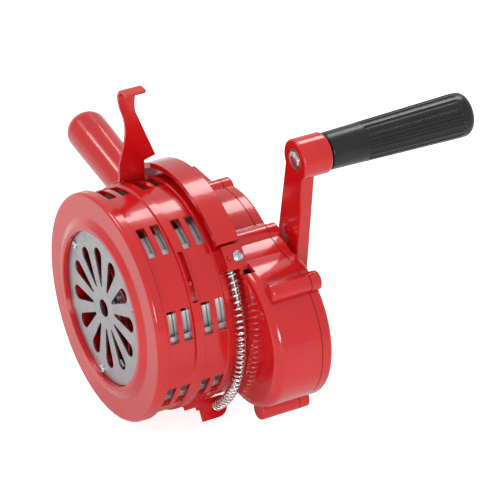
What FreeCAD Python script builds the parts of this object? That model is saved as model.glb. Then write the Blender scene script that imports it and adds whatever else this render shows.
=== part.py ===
import FreeCAD, Part
import math
import os
import re
import Sketcher
from FreeCAD import Placement, Rotation, Vector

# Hand crank siren, in millimetres.
# The rotor's axis runs along Y, the grille faces -Y, and +Z is up.
# Every y below is measured from the flat front of the cap. The finished pieces are
# shifted so that the origin is the centre of the cap's rim on the rotor's axis.
# Angles are measured from +X towards +Z, as seen from the front.

SIZES = {
    # front cap
    "cap_radius": 75.0, "cap_depth": 7.3, "cap_round": 2.4, "cap_skin": 2.8, "rim_wall": 2.5,
    "bead_height": 2.6, "bead_inner": 50.8, "bead_crest": 54.0, "bead_foot": 59.5,
    "inlet_radius": 44.0, "collar_wall": 5.0, "collar_end": 8.2,
    # grille
    "grille_radius": 50.4, "grille_thickness": 1.2, "grille_front": 0.5, "hub_hole": 5.8,
    "petal_count": 12, "petal_far": 36.2, "petal_far_radius": 4.9,
    "petal_near": 15.3, "petal_near_radius": 0.9,
    "grille_screw_circle": 47.2, "grille_screw_angle": 25.7, "grille_screw_count": 3,
    # windows, the same four rows in the drum and in the shutter ring
    "window_count": 8, "window_height": 21.6, "window_width": 5.9,
    "row_one": 10.1, "row_two": 19.7, "row_three": 34.1, "row_four": 43.7,
    "shutter_window_angle": 15.1, "drum_window_angle": 18.5,
    # stator drum
    "drum_radius": 70.0, "drum_wall": 3.0, "drum_end": 60.0,
    "flange_radius": 72.3, "flange_end": 8.2,
    "lug_circle": 64.2, "lug_radius": 5.0, "lug_length": 7.5,
    # shutter ring
    "shutter_outer": 72.6, "shutter_start": 8.5, "shutter_end": 51.0,
    "ridge_height": 1.4, "ridge_middle": 30.0, "ridge_width": 7.4, "ridge_slope": 0.8,
    "lip_height": 1.0, "lip_width": 1.2,
    "slot_angle": 37.6, "slot_span": 25.7, "slot_width": 3.6, "pin_angle": 34.3, "pin_radius": 1.5,
    # gear housing
    "housing_start": 51.4, "wall_front": 60.0, "wall_back": 64.5, "shell_front": 61.5,
    "seam": 93.0, "shell_wall": 3.5, "shell_round": 6.0,
    "main_radius": 57.5, "middle_x": 43.0, "middle_radius": 51.0,
    "lobe_x": 66.0, "lobe_z": -2.0, "lobe_radius": 49.0,
    "shroud_radius": 82.0, "shroud_wall": 3.5, "shroud_back": 67.0,
    "shroud_from": 47.0, "shroud_to": 282.0,
    "block_left": -68.0, "block_right": -38.0, "block_bottom": -34.0, "block_top": 44.5,
    "block_round": 6.0, "boss_radius": 6.3, "boss_front": 66.0, "boss_round": 2.0,
    # cover
    "gasket_thickness": 0.5, "gasket_inset": 0.5, "cover_back": 100.8, "cover_skin": 3.5, "cover_round": 2.5,
    "hub_pad_radius": 27.0, "hub_pad_height": 0.9, "hub_boss_radius": 12.5, "hub_boss_back": 103.4,
    "bearing_boss_radius": 13.0, "bearing_boss_back": 102.2,
    # rotor
    "rotor_radius": 66.2, "rotor_wall": 3.6, "rotor_front": 9.0, "rotor_back": 50.0,
    "rotor_disc": 4.0, "rotor_lip": 2.5, "rotor_eye": 50.0, "rotor_hub": 11.0, "rotor_hub_front": 12.0,
    "vane_count": 8, "vane_thickness": 2.5, "vane_angle": 8.7, "port_height": 23.0,
    "band_one_from": 11.6, "band_one_to": 26.6, "band_two_from": 33.4, "band_two_to": 45.8,
    "shaft_radius": 4.0, "shaft_tail_radius": 3.0, "shaft_nose": 5.0, "shaft_end": 100.2,
    "shaft_collar": 6.0, "collar_width": 2.5, "nut_across": 10.0, "nut_height": 4.8, "washer_radius": 6.5, "washer_thickness": 1.2,
    # ball bearings
    "front_race_radius": 11.0, "front_race_width": 7.0, "front_ball": 1.95, "front_ball_count": 7,
    "rear_race_radius": 9.5, "rear_race_width": 6.0, "rear_ball": 1.75, "rear_ball_count": 7,
    "race_wall": 1.6, "rear_bearing_front": 93.8,
    # gear train
    "crank_x": 44.0, "crank_z": -2.0,
    "coarse_module": 1.0, "fine_module": 0.8, "backlash": 0.12,
    "crank_teeth": 76, "idler_pinion_teeth": 14, "idler_teeth": 56, "rotor_pinion_teeth": 14,
    "coarse_from": 77.5, "coarse_to": 85.5, "fine_from": 67.5, "fine_to": 73.5, "pinion_overhang": 0.8,
    "axle_radius": 3.0, "axle_end": 98.6, "idler_hub": 5.2, "idler_hub_back": 93.8,
    "shaft_front": 63.8, "clip_front": 76.3, "thread_end": 123.6, "crank_flat": 4.8, "key_top": 7.4, "bush_inset": 0.9,
    "crank_shaft_radius": 6.0, "crank_collar": 8.0, "bush_wall": 2.0, "bush_length": 5.0,
    "seal_radius": 9.5, "seal_thickness": 3.2, "clip_outer": 8.8, "clip_thickness": 1.1, "clip_groove": 0.6,
    "key_width": 3.0, "key_depth": 1.5, "crank_thread": 5.0,
    # crank arm and grip
    "arm_front": 104.5, "arm_thickness": 9.4, "arm_reach": 110.0, "arm_lean": 7.7,
    "arm_top_radius": 10.3, "arm_foot_radius": 13.5, "arm_round": 1.4,
    "hub_radius": 13.25, "hub_length": 21.0, "hub_round": 2.4, "counterbore": 7.6, "counterbore_depth": 1.4,
    "arm_washer_radius": 10.0, "arm_washer_thickness": 1.6, "arm_nut_across": 17.0, "arm_nut_height": 7.0,
    "bush_outer_radius": 5.6, "spindle_nose": 0.3,
    "spindle_radius": 4.0, "spindle_collar": 9.0, "spindle_length": 70.0,
    "dome_radius": 5.6, "dome_height": 1.2, "rim_washer_radius": 7.3, "rim_washer_thickness": 1.2,
    "grip_length": 103.0, "grip_inner_radius": 12.0, "grip_outer_radius": 14.4, "grip_round": 5.5,
    "flute_count": 18, "flute_radius": 1.7, "flute_length": 66.0, "flute_depth": 1.0, "flute_margin": 3.0,
    # side handle
    "handle_y": 80.1, "handle_z": 1.5, "handle_rise": 10.5, "handle_length": 122.0,
    "handle_base": 12.6, "handle_end": 14.3, "handle_round": 11.0,
    "stud_radius": 4.0, "stud_in_block": 10.0, "stud_in_handle": 80.0,
    # spring, its bracket and its lug
    "spring_y": 57.0, "spring_top_angle": 34.6, "spring_top_radius": 77.0,
    "spring_waist_angle": -10.0, "spring_waist_radius": 76.9,
    "spring_low_angle": -57.0, "spring_low_radius": 79.6,
    "spring_turns": 31, "spring_radius": 3.0, "wire_radius": 0.6, "closed_pitch": 1.75,
    "bracket_plate": 1.6, "bracket_radius": 79.0, "bracket_top_angle": 46.0,
    "bracket_front": 54.0, "bracket_back": 67.6, "bracket_screw_angle": 40.2, "bracket_screw_y": 63.0,
    "peg_y": 57.2, "peg_radius": 1.6, "peg_stand": 0.9, "seat_front": 53.2, "seat_back": 60.9,
    "seat_foot": 73.2, "rod_radius": 1.3, "rod_span": 17.0,
    "lug_plate": 2.4, "lug_disc": 8.0, "lug_disc_radius_at": 79.3, "lug_foot_front": 36.0,
    "lug_foot_span": 6.6, "lug_foot_thickness": 1.8, "lug_clearance": 0.3,
    # finger lever
    "lever_x": -34.4, "lever_plate": 2.0, "lever_bend": 5.0, "lever_foot_to": 135.5,
    "lever_front": 31.2, "lever_back": 49.0, "lever_top": 126.5, "lever_lip": 6.0, "lever_lip_round": 4.0,
    # fasteners
    "small_head": 2.9, "small_head_height": 1.7, "small_shank": 1.5, "small_length": 6.0,
    "cover_head": 3.8, "cover_head_height": 1.8, "cover_shank": 2.0, "cover_length": 20.0,
    "drum_screw_length": 11.0, "bracket_screw_length": 9.0,
    "rivet_radius": 1.6, "rivet_head": 2.9, "rivet_head_height": 1.2,
    "grub_angle": 141.6, "grub_length": 3.6,
    # clearances
    "seat": 0.04, "running": 0.06, "ring_running": 0.3, "hole_clearance": 0.15,
}

# Cover screws in X and Z: three round the top of the case, the lobe's two, and the hidden side's.
COVER_SCREWS = [(-15.9, 53.0), (43.3, 49.3), (94.7, 41.2), (81.4, -52.0), (34.0, -50.6),
                (-15.0, -55.0), (-60.0, 36.5), (-60.0, -26.0)]
DRUM_SCREW_ANGLES = [60.0, 125.0, 222.0, 330.0]

doc = FreeCAD.newDocument("hand_crank_siren")
sheet = doc.addObject("Spreadsheet::Sheet", "sizes")
for row, (alias, cell_value) in enumerate(SIZES.items(), start=1):
    sheet.set(f"A{row}", alias)
    sheet.set(f"B{row}", str(cell_value))
    sheet.setAlias(f"B{row}", alias)
probe = doc.addObject("App::FeaturePython", "probe")
doc.recompute()

ALONG_Y = Rotation(Vector(1, 0, 0), -90)
nodes = {}


def bound(text):
    """Write each size's name in an expression as a reference to its cell."""
    return re.sub(r"[a-z][a-z_0-9]*", lambda word: "sizes." + word[0] if word[0] in SIZES else word[0], str(text))


def number(text):
    """Give the value of an expression of sizes."""
    return float(probe.evalExpression(bound(text)))


def tie(thing, prop, text):
    """Bind a property to an expression of sizes."""
    thing.setExpression(prop, bound(text))


def fresh(kind, name):
    """Add an object to the document."""
    return doc.addObject(kind, name)


def turn_about_rotor(angle):
    """Rotation that carries +X to the given angle towards +Z."""
    return Rotation(Vector(0, 1, 0), -angle)


def around(radius, angle, y=0.0):
    """Point at a radius and an angle about the rotor's axis."""
    a = math.radians(angle)
    return Vector(radius * math.cos(a), y, radius * math.sin(a))


# Solids from primitives


def cylinder(name, radius, start, end, x="0", z="0"):
    """Cylinder along Y between two y values."""
    c = fresh("Part::Cylinder", name)
    tie(c, "Radius", radius)
    tie(c, "Height", f"({end}) - ({start})")
    c.Placement = Placement(Vector(number(x), number(start), number(z)), ALONG_Y)
    tie(c, "Placement.Base.x", x)
    tie(c, "Placement.Base.y", start)
    tie(c, "Placement.Base.z", z)
    return c


def sector(name, radius, start, end, angle_from, angle_to):
    """Sector of a cylinder about the rotor's axis, between two angles."""
    c = cylinder(name, radius, start, end)
    tie(c, "Angle", f"({angle_to}) - ({angle_from})")
    turned_to = turn_about_rotor(number(angle_to)).multiply(ALONG_Y)
    c.Placement = Placement(Vector(0, number(start), 0), turned_to)
    return c


def box(name, x_from, x_to, y_from, y_to, z_from, z_to):
    """Box between two corners."""
    b = fresh("Part::Box", name)
    tie(b, "Length", f"({x_to}) - ({x_from})")
    tie(b, "Width", f"({y_to}) - ({y_from})")
    tie(b, "Height", f"({z_to}) - ({z_from})")
    tie(b, "Placement.Base.x", x_from)
    tie(b, "Placement.Base.y", y_from)
    tie(b, "Placement.Base.z", z_from)
    return b


def radial(name, radius, inner, outer, angle, y):
    """Cylinder that points away from the rotor's axis."""
    c = fresh("Part::Cylinder", name)
    tie(c, "Radius", radius)
    tie(c, "Height", f"({outer}) - ({inner})")
    outward = Rotation(Vector(0, 0, 1), around(1, number(angle)))
    c.Placement = Placement(around(number(inner), number(angle), number(y)), outward)
    return c


def fuse(name, parts):
    """Union of solids."""
    f = fresh("Part::MultiFuse", name)
    f.Shapes = parts
    f.Refine = True
    return f


def cut(name, base, tools):
    """Solid less its tools, with the volume compared."""
    c = fresh("Part::Cut", name)
    c.Base = base
    c.Tool = tools[0] if len(tools) == 1 else fuse(name + "_tools", tools)
    doc.recompute()
    if c.Shape.Volume >= base.Shape.Volume - 1e-3:
        raise RuntimeError(f"{name}: the cut removes nothing")
    return c


def tube(name, outer, inner, start, end, x="0", z="0"):
    """Plain tube along Y."""
    return cut(name, cylinder(name + "_outside", outer, start, end, x, z),
               [cylinder(name + "_bore", inner, f"({start}) - 1", f"({end}) + 1", x, z)])


# Solids from sketches


def new_body(name):
    """Add a body."""
    return fresh("PartDesign::Body", name)


def sketch_on(body, role, name, turn=0.0, shift=None):
    """Sketch on one of the body's own planes, turned about the rotor's axis or shifted off it."""
    sketch = body.newObject("Sketcher::SketchObject", name)
    plane = next(f for f in body.Origin.OriginFeatures if f.Role == role)
    sketch.AttachmentSupport = (plane, [""])
    sketch.MapMode = "FlatFace"
    if turn:
        sketch.AttachmentOffset = Placement(Vector(), Rotation(Vector(0, 1, 0), -turn))
    if shift:
        tie(sketch, "AttachmentOffset.Base.z", shift)
    return sketch


def fix_point(sketch, element, end, x, y):
    """Tie one sketch point to expressions."""
    for kind, text in (("DistanceX", x), ("DistanceY", y)):
        index = sketch.addConstraint(Sketcher.Constraint(kind, -1, 1, element, end, number(text)))
        sketch.setExpression(f"Constraints[{index}]", bound(text))


def polygon(sketch, points):
    """Closed polygon whose corners are expressions."""
    first = sketch.GeometryCount
    corners = [Vector(number(a), number(b), 0) for a, b in points]
    count = len(points)
    for i in range(count):
        sketch.addGeometry(Part.LineSegment(corners[i], corners[(i + 1) % count]), False)
    for i in range(count):
        sketch.addConstraint(Sketcher.Constraint("Coincident", first + i, 2, first + (i + 1) % count, 1))
    for i, (a, b) in enumerate(points):
        fix_point(sketch, first + i, 1, a, b)


def circle(sketch, x, y, radius):
    """Circle whose centre and radius are expressions."""
    element = sketch.addGeometry(
        Part.Circle(Vector(number(x), number(y), 0), Vector(0, 0, 1), number(radius)), False)
    fix_point(sketch, element, 3, x, y)
    index = sketch.addConstraint(Sketcher.Constraint("Radius", element, number(radius)))
    sketch.setExpression(f"Constraints[{index}]", bound(radius))


def tapered_slot(sketch, near, near_radius, far, far_radius):
    """Outline round two circles on the sketch's X axis, with tangent sides."""
    spots = [number(near), number(far)]
    radii = [number(near_radius), number(far_radius)]
    lean = math.asin((radii[1] - radii[0]) / (spots[1] - spots[0]))
    up = Vector(-math.sin(lean), math.cos(lean), 0)
    down = Vector(up.x, -up.y, 0)
    centres = [Vector(s, 0, 0) for s in spots]
    quarter = math.pi / 2
    up_angle, down_angle = quarter + lean, -quarter - lean
    near_arc = sketch.addGeometry(Part.ArcOfCircle(
        Part.Circle(centres[0], Vector(0, 0, 1), radii[0]), up_angle, down_angle + 2 * math.pi), False)
    far_arc = sketch.addGeometry(Part.ArcOfCircle(
        Part.Circle(centres[1], Vector(0, 0, 1), radii[1]), down_angle, up_angle), False)
    top = sketch.addGeometry(Part.LineSegment(centres[0] + up * radii[0], centres[1] + up * radii[1]), False)
    low = sketch.addGeometry(Part.LineSegment(centres[1] + down * radii[1], centres[0] + down * radii[0]), False)
    for a, end_a, b, end_b in ((near_arc, 1, top, 1), (top, 2, far_arc, 2), (far_arc, 1, low, 1), (low, 2, near_arc, 2)):
        sketch.addConstraint(Sketcher.Constraint("Tangent", a, end_a, b, end_b))
    for arc, spot, radius in ((near_arc, near, near_radius), (far_arc, far, far_radius)):
        sketch.addConstraint(Sketcher.Constraint("PointOnObject", arc, 3, -1))
        for kind, text, args in (("DistanceX", spot, (-1, 1, arc, 3)), ("Radius", radius, (arc,))):
            index = sketch.addConstraint(Sketcher.Constraint(kind, *args, number(text)))
            sketch.setExpression(f"Constraints[{index}]", bound(text))


def revolve(body, name, points, x_role="XY_Plane", turn=0.0):
    """Turn a closed profile of (radius, y) corners about the body's Y axis."""
    sketch = sketch_on(body, x_role, name + "_profile", turn)
    polygon(sketch, points)
    feature = body.newObject("PartDesign::Revolution", name)
    feature.Profile = sketch
    feature.ReferenceAxis = (sketch, ["V_Axis"])
    feature.Angle = 360
    doc.recompute()
    return feature


def round_corners(body, name, radius, corners):
    """Fillet the circular edges that pass through the given (radius, y) corners."""
    spots = [(number(r), number(y)) for r, y in corners]
    edges = []
    for i, edge in enumerate(body.Shape.Edges, start=1):
        if isinstance(edge.Curve, Part.Circle):
            for r, y in spots:
                if abs(edge.Curve.Radius - r) < 1e-3 and abs(edge.Curve.Center.y - y) < 1e-3:
                    edges.append(f"Edge{i}")
    if len(edges) < len(spots):
        raise RuntimeError(f"{name}: an edge to round isn't there")
    last = body.Tip
    feature = body.newObject("PartDesign::Fillet", name)
    feature.Base = (last, sorted(set(edges)))
    tie(feature, "Radius", radius)
    body.Tip = feature
    doc.recompute()
    return feature


def turned(name, points, rounds=(), x="0", z="0"):
    """Body turned about a line along Y, with some corners rounded."""
    body = new_body(name)
    revolve(body, name + "_turn", points)
    for i, (radius, corners) in enumerate(rounds):
        round_corners(body, f"{name}_round_{i}", radius, corners)
    tie(body, "Placement.Base.x", x)
    tie(body, "Placement.Base.z", z)
    return body


def pad(body, name, sketch, length, reverse=False, symmetric=False):
    """Extrude a sketch."""
    feature = body.newObject("PartDesign::Pad", name)
    feature.Profile = sketch
    tie(feature, "Length", length)
    feature.Reversed = reverse
    if symmetric:
        feature.SideType = "Symmetric"
    doc.recompute()
    return feature


def pocket(body, name, sketch, length, reverse=False):
    """Cut along a sketch, with the volume compared."""
    before = body.Shape.Volume
    feature = body.newObject("PartDesign::Pocket", name)
    feature.Profile = sketch
    tie(feature, "Length", length)
    feature.Reversed = reverse
    doc.recompute()
    if body.Shape.Volume >= before - 1e-3:
        raise RuntimeError(f"{name}: the pocket removes nothing")
    return feature


def polar(body, name, feature, count):
    """Repeat a feature round the body's Y axis."""
    pattern = body.newObject("PartDesign::PolarPattern", name)
    pattern.Originals = [feature]
    pattern.Axis = (next(f for f in body.Origin.OriginFeatures if f.Role == "Y_Axis"), [""])
    pattern.Angle = 360
    tie(pattern, "Occurrences", count)
    body.Tip = pattern
    doc.recompute()
    return pattern


def cut_windows(body, name, reach):
    """Cut the four rows of windows through a wall, all the way round."""
    sketch = sketch_on(body, "YZ_Plane", name + "_rows", shift=reach)
    for row in ("row_one", "row_two", "row_three", "row_four"):
        low, high = "-window_height / 2", "window_height / 2"
        polygon(sketch, [(row, low), (f"{row} + window_width", low), (f"{row} + window_width", high), (row, high)])
    polar(body, name + "_round", pocket(body, name, sketch, "16", reverse=True), "window_count")


# Solids made in code


def made(name, shape):
    """Hold a shape that code has made."""
    feature = fresh("Part::Feature", name)
    feature.Shape = shape
    return feature


def turned_shape(points):
    """Solid of revolution about +Z from (radius, height) points."""
    wire = Part.makePolygon([Vector(r, 0, h) for r, h in points + points[:1]])
    return Part.Face(wire).revolve(Vector(), Vector(0, 0, 1), 360)


def domed(rim_radius, rim_height, top_height, shank_radius, length):
    """Turned blank along +Z: a shank below the plane z = 0, and a head with a ball-shaped top above it."""
    rise = top_height - rim_height
    ball = (rim_radius ** 2 + rise ** 2) / (2 * rise)
    half = math.asin(rim_radius / ball) / 2
    crown = Part.Arc(Vector(rim_radius, 0, rim_height),
                     Vector(ball * math.sin(half), 0, top_height - ball * (1 - math.cos(half))),
                     Vector(0, 0, top_height)).toShape()
    corners = [Vector(0, 0, top_height), Vector(0, 0, -length), Vector(shank_radius - 0.3, 0, -length),
               Vector(shank_radius, 0, -length + 0.3), Vector(shank_radius, 0, 0), Vector(rim_radius, 0, 0),
               Vector(rim_radius, 0, rim_height)]
    sides = [Part.LineSegment(a, b).toShape() for a, b in zip(corners, corners[1:])]
    return Part.Face(Part.Wire([crown] + sides)).revolve(Vector(), Vector(0, 0, 1), 360)


def pan_screw(head_radius, head_height, shank_radius, length):
    """Cross-recessed pan head screw."""
    screw = domed(head_radius, head_height * 0.45, head_height, shank_radius, length)
    long, wide, deep = head_radius * 1.15, head_radius * 0.24, head_height * 0.6
    for a, b in ((long, wide), (wide, long)):
        screw = screw.cut(Part.makeBox(a, b, deep + 1, Vector(-a / 2, -b / 2, head_height - deep)))
    return screw


def rivet(head_radius, head_height, shank_radius, length):
    """Domed rivet with a thin rim."""
    return domed(head_radius, head_height * 0.25, head_height, shank_radius, length)


def placed(shape, place):
    """Copy of a shape at a placement."""
    copy = shape.copy()
    copy.Placement = place.multiply(copy.Placement)
    return copy


def facing(point, direction):
    """Placement that carries +Z to a direction at a point."""
    return Placement(point, Rotation(Vector(0, 0, 1), direction))


def hexagon(across, height, bore):
    """Nut blank along +Z with chamfered corners."""
    corner = across / math.sqrt(3)
    points = [Vector(corner * math.cos(math.radians(60 * i)), corner * math.sin(math.radians(60 * i)), 0)
              for i in range(7)]
    prism = Part.Face(Part.makePolygon(points)).extrude(Vector(0, 0, height))
    edge = height * 0.12
    rounding = turned_shape([(0, 0), (across / 2, 0), (corner + 0.01, edge), (corner + 0.01, height - edge),
                             (across / 2, height), (0, height)])
    return prism.common(rounding).cut(Part.makeCylinder(bore, height + 2, Vector(0, 0, -1)))


def gear_blank(teeth, module, thinning):
    """Face of a spur gear with involute flanks, a tooth centred on the angle zero."""
    pitch = module * teeth / 2
    pressure = math.radians(20)
    base = pitch * math.cos(pressure)
    tip, root = pitch + module, pitch - 1.25 * module
    half_pitch_angle = math.pi / (2 * teeth) - thinning / (2 * pitch)
    at_pitch = math.tan(pressure) - pressure

    def flank_angle(radius):
        a = math.acos(min(1.0, base / radius))
        return half_pitch_angle + at_pitch - (math.tan(a) - a)

    start = max(base, root)
    steps = 5
    radii = [start + (tip - start) * i / (steps - 1) for i in range(steps)]
    edges = []
    for tooth in range(teeth):
        middle = 2 * math.pi * tooth / teeth
        upper = [Vector(r * math.cos(middle + flank_angle(r)), r * math.sin(middle + flank_angle(r)), 0)
                 for r in radii]
        lower = [Vector(r * math.cos(middle - flank_angle(r)), r * math.sin(middle - flank_angle(r)), 0)
                 for r in radii]
        foot = flank_angle(start)
        after = 2 * math.pi / teeth - foot
        low_foot = Vector(root * math.cos(middle - foot), root * math.sin(middle - foot), 0)
        high_foot = Vector(root * math.cos(middle + foot), root * math.sin(middle + foot), 0)
        next_foot = Vector(root * math.cos(middle + after), root * math.sin(middle + after), 0)
        if start - root > 1e-6:
            edges.append(Part.LineSegment(low_foot, lower[0]).toShape())
        edges.append(involute(lower))
        edges.append(Part.Arc(lower[-1], Vector(tip * math.cos(middle), tip * math.sin(middle), 0),
                              upper[-1]).toShape())
        edges.append(involute(upper[::-1]))
        if start - root > 1e-6:
            edges.append(Part.LineSegment(upper[0], high_foot).toShape())
        between = middle + math.pi / teeth
        edges.append(Part.Arc(high_foot, Vector(root * math.cos(between), root * math.sin(between), 0),
                              next_foot).toShape())
    return Part.Face(Part.Wire(Part.__sortEdges__(edges)))


def involute(points):
    """Smooth edge through the points of a flank."""
    curve = Part.BSplineCurve()
    curve.interpolate(points)
    return curve.toShape()


def gear(teeth, module, start, end, bore, phase, x, z):
    """Spur gear about a line along Y, a tooth centred on the phase angle."""
    blank = gear_blank(int(teeth), module, number("backlash")).extrude(Vector(0, 0, end - start))
    blank = blank.cut(Part.makeCylinder(bore, end - start + 2, Vector(0, 0, -1)))
    upright = Placement(Vector(x, start, z), turn_about_rotor(phase).multiply(ALONG_Y))
    return placed(blank, upright)


def compound(shapes):
    """Group of separate solids."""
    return Part.makeCompound([solid for shape in shapes for solid in shape.Solids])


def finish(node, thing):
    """Name a finished piece and shift it to the part's origin."""
    thing.Label = node
    middle = "(cap_round + cap_depth) / 2"
    for prop, text in thing.ExpressionEngine:
        if prop.strip(".") == "Placement.Base.y":
            thing.setExpression(prop, f"{text} - {bound(middle)}")
            break
    else:
        shift = Placement(Vector(0, -number(middle), 0), Rotation())
        thing.Placement = shift.multiply(thing.Placement)
    nodes[node] = thing
    return thing


# Front cap, grille and its screws

cap = turned("cap_turned", [
    ("cap_radius - rim_wall", "cap_depth"), ("cap_radius", "cap_depth"), ("cap_radius", "0"), ("bead_foot", "0"),
    ("bead_crest", "-bead_height"), ("bead_inner", "-bead_height"), ("bead_inner", "grille_front + grille_thickness"),
    ("inlet_radius", "grille_front + grille_thickness"), ("inlet_radius", "collar_end"),
    ("inlet_radius + collar_wall", "collar_end"), ("inlet_radius + collar_wall", "cap_skin"),
    ("cap_radius - rim_wall", "cap_skin")],
    [("cap_round", [("cap_radius", "0")]), ("bead_height", [("bead_foot", "0")]),
     ("bead_height * 0.4", [("bead_crest", "-bead_height")]), ("bead_height * 0.25", [("bead_inner", "-bead_height")])])


def grille_screw_spots():
    """Angles of the grille's screws."""
    count = int(number("grille_screw_count"))
    return [number("grille_screw_angle") + 360 * i / count for i in range(count)]


def screw_holes(name, radius, start, end, circle_radius, angles):
    """Cylinders along Y on a circle, as cutting tools."""
    tools = []
    for i, angle in enumerate(angles):
        c = cylinder(f"{name}_{i}", radius, start, end)
        a = math.radians(angle)
        tie(c, "Placement.Base.x", f"({circle_radius}) * {math.cos(a):.9f}")
        tie(c, "Placement.Base.z", f"({circle_radius}) * {math.sin(a):.9f}")
        tools.append(c)
    return tools


seat_y = "grille_front + grille_thickness"
cap_tools = screw_holes("cap_hole", "small_shank + seat", f"{seat_y} - 0.1", f"{seat_y} + small_length",
                        "grille_screw_circle", grille_screw_spots())
cap_tools.append(radial("cap_grub_hole", "small_shank + seat", "cap_radius - rim_wall - 0.5", "cap_radius + 1",
                        "grub_angle", "(cap_round + cap_depth) / 2"))
finish("front_cap", cut("front_cap", cap, cap_tools))

plate = new_body("grille_disc")
disc = sketch_on(plate, "XZ_Plane", "grille_outline", shift="-grille_front")
circle(disc, "0", "0", "grille_radius")
circle(disc, "0", "0", "hub_hole")
pad(plate, "grille_pad", disc, "grille_thickness", reverse=True)
petal = sketch_on(plate, "XZ_Plane", "petal_outline")
tapered_slot(petal, "petal_near", "petal_near_radius", "petal_far", "petal_far_radius")
polar(plate, "petals", pocket(plate, "petal", petal, "grille_front + grille_thickness + 1"), "petal_count")
plate.Placement = Placement(Vector(), turn_about_rotor(number("grille_screw_angle - 180 / petal_count")))
finish("grille_plate", cut("grille_plate", plate, screw_holes(
    "grille_hole", "small_shank + hole_clearance", "grille_front - 1", f"{seat_y} + 1", "grille_screw_circle",
    grille_screw_spots())))

small_screw = pan_screw(number("small_head"), number("small_head_height"), number("small_shank"),
                        number("small_length + grille_thickness") - 0.4)
finish("grille_screws", made("grille_screws", compound([
    placed(small_screw, facing(around(number("grille_screw_circle"), a, number("grille_front")), Vector(0, -1, 0)))
    for a in grille_screw_spots()])))

grub = Part.makeCylinder(number("small_shank"), number("grub_length"))
socket = Part.makeBox(1.6, 0.5, 0.8, Vector(-0.8, -0.25, number("grub_length") - 0.6))
grub_foot = number("cap_radius - 0.15 - grub_length")
finish("cap_lock_screw", made("cap_lock_screw", placed(grub.cut(socket), facing(
    around(grub_foot, number("grub_angle"), number("(cap_round + cap_depth) / 2")), around(1, number("grub_angle"))))))

# Stator drum

drum = turned("drum_turned", [
    ("drum_radius - drum_wall", "cap_skin"), ("flange_radius", "cap_skin"), ("flange_radius", "flange_end"),
    ("drum_radius", "flange_end"), ("drum_radius", "drum_end"), ("drum_radius - drum_wall", "drum_end")])
cut_windows(drum, "drum_windows", "drum_radius - drum_wall - 6")
drum.Placement = Placement(Vector(), turn_about_rotor(number("drum_window_angle")))
lugs = screw_holes("drum_lug", "lug_radius", "drum_end - lug_length", "drum_end", "lug_circle", DRUM_SCREW_ANGLES)
drum_tools = screw_holes("drum_thread", "cover_shank + seat", "drum_end - lug_length - 1", "drum_end + 1", "lug_circle",
                         DRUM_SCREW_ANGLES)
PIN_ANGLES = [number("pin_angle"), number("pin_angle") + 180]
for i, angle in enumerate(PIN_ANGLES):
    drum_tools.append(radial(f"drum_pin_hole_{i}", "pin_radius + seat", "drum_radius - drum_wall - 3", "drum_radius + 3",
                             angle, "ridge_middle"))
drum_tools.append(radial("drum_grub_hole", "small_shank + seat", "cap_radius - 0.3 - grub_length",
                         "flange_radius + 1", "grub_angle", "(cap_round + cap_depth) / 2"))
finish("stator_drum", cut("stator_drum", fuse("drum_and_lugs", [drum] + lugs), drum_tools))

pin_length = number("ridge_height + shutter_outer - drum_radius + drum_wall") - 0.5
pin_r = number("pin_radius")
pin = turned_shape([(0, 0), (pin_r, 0), (pin_r, pin_length - 0.4), (pin_r - 0.4, pin_length), (0, pin_length)])
finish("guide_pins", made("guide_pins", compound([
    placed(pin, facing(around(number("drum_radius - drum_wall") + 0.3, a, number("ridge_middle")), around(1, a)))
    for a in PIN_ANGLES])))

# Shutter ring

ring = turned("ring_turned", [
    ("drum_radius + ring_running", "shutter_start"), ("shutter_outer", "shutter_start"),
    ("shutter_outer", "ridge_middle - ridge_width / 2"),
    ("shutter_outer + ridge_height", "ridge_middle - ridge_width / 2 + ridge_slope"),
    ("shutter_outer + ridge_height", "ridge_middle + ridge_width / 2 - ridge_slope"),
    ("shutter_outer", "ridge_middle + ridge_width / 2"), ("shutter_outer", "shutter_end - lip_width"),
    ("shutter_outer + lip_height", "shutter_end - lip_width + lip_height / 2"),
    ("shutter_outer + lip_height", "shutter_end"), ("drum_radius + ring_running", "shutter_end")])
cut_windows(ring, "ring_windows", "drum_radius - 6")
slot_sketch = sketch_on(ring, "XY_Plane", "slot_profile", turn=number("slot_angle - shutter_window_angle"))
polygon(slot_sketch, [("drum_radius - 1", "ridge_middle - slot_width / 2"),
                      ("shutter_outer + ridge_height + 1", "ridge_middle - slot_width / 2"),
                      ("shutter_outer + ridge_height + 1", "ridge_middle + slot_width / 2"),
                      ("drum_radius - 1", "ridge_middle + slot_width / 2")])
slot = ring.newObject("PartDesign::Groove", "slot")
slot.Profile = slot_sketch
slot.ReferenceAxis = (slot_sketch, ["V_Axis"])
tie(slot, "Angle", "slot_span")
slot.Midplane = True
doc.recompute()
polar(ring, "slots", slot, "2")
ring.Placement = Placement(Vector(), turn_about_rotor(number("shutter_window_angle")))
rivet_hole = "rivet_radius + seat"
LEVER_RIVETS = [(number("lever_foot_to") - 4.5, 35.5), (number("lever_foot_to") - 4.5, 44.5)]
LUG_FOOT_ANGLE = number("spring_low_angle") - math.degrees(number("lug_plate + lug_clearance") / number("spring_low_radius"))
LUG_RIVETS = [(LUG_FOOT_ANGLE - number("lug_foot_span") * 0.5, y) for y in (39.0, 46.5)]
finish("shutter_ring", cut("shutter_ring", ring, [
    radial(f"ring_rivet_hole_{i}", rivet_hole, "drum_radius - 2", "shutter_outer + 3", angle, y)
    for i, (angle, y) in enumerate(LEVER_RIVETS + LUG_RIVETS)]))

# Finger lever: a bent strip, seen along Y, trimmed to the outline that the side shows

lever_seat = number("shutter_outer + seat")
plate_thickness = number("lever_plate")
inner_x = number("lever_x")
outer_x = inner_x - plate_thickness
foot_end = number("lever_foot_to")


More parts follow.
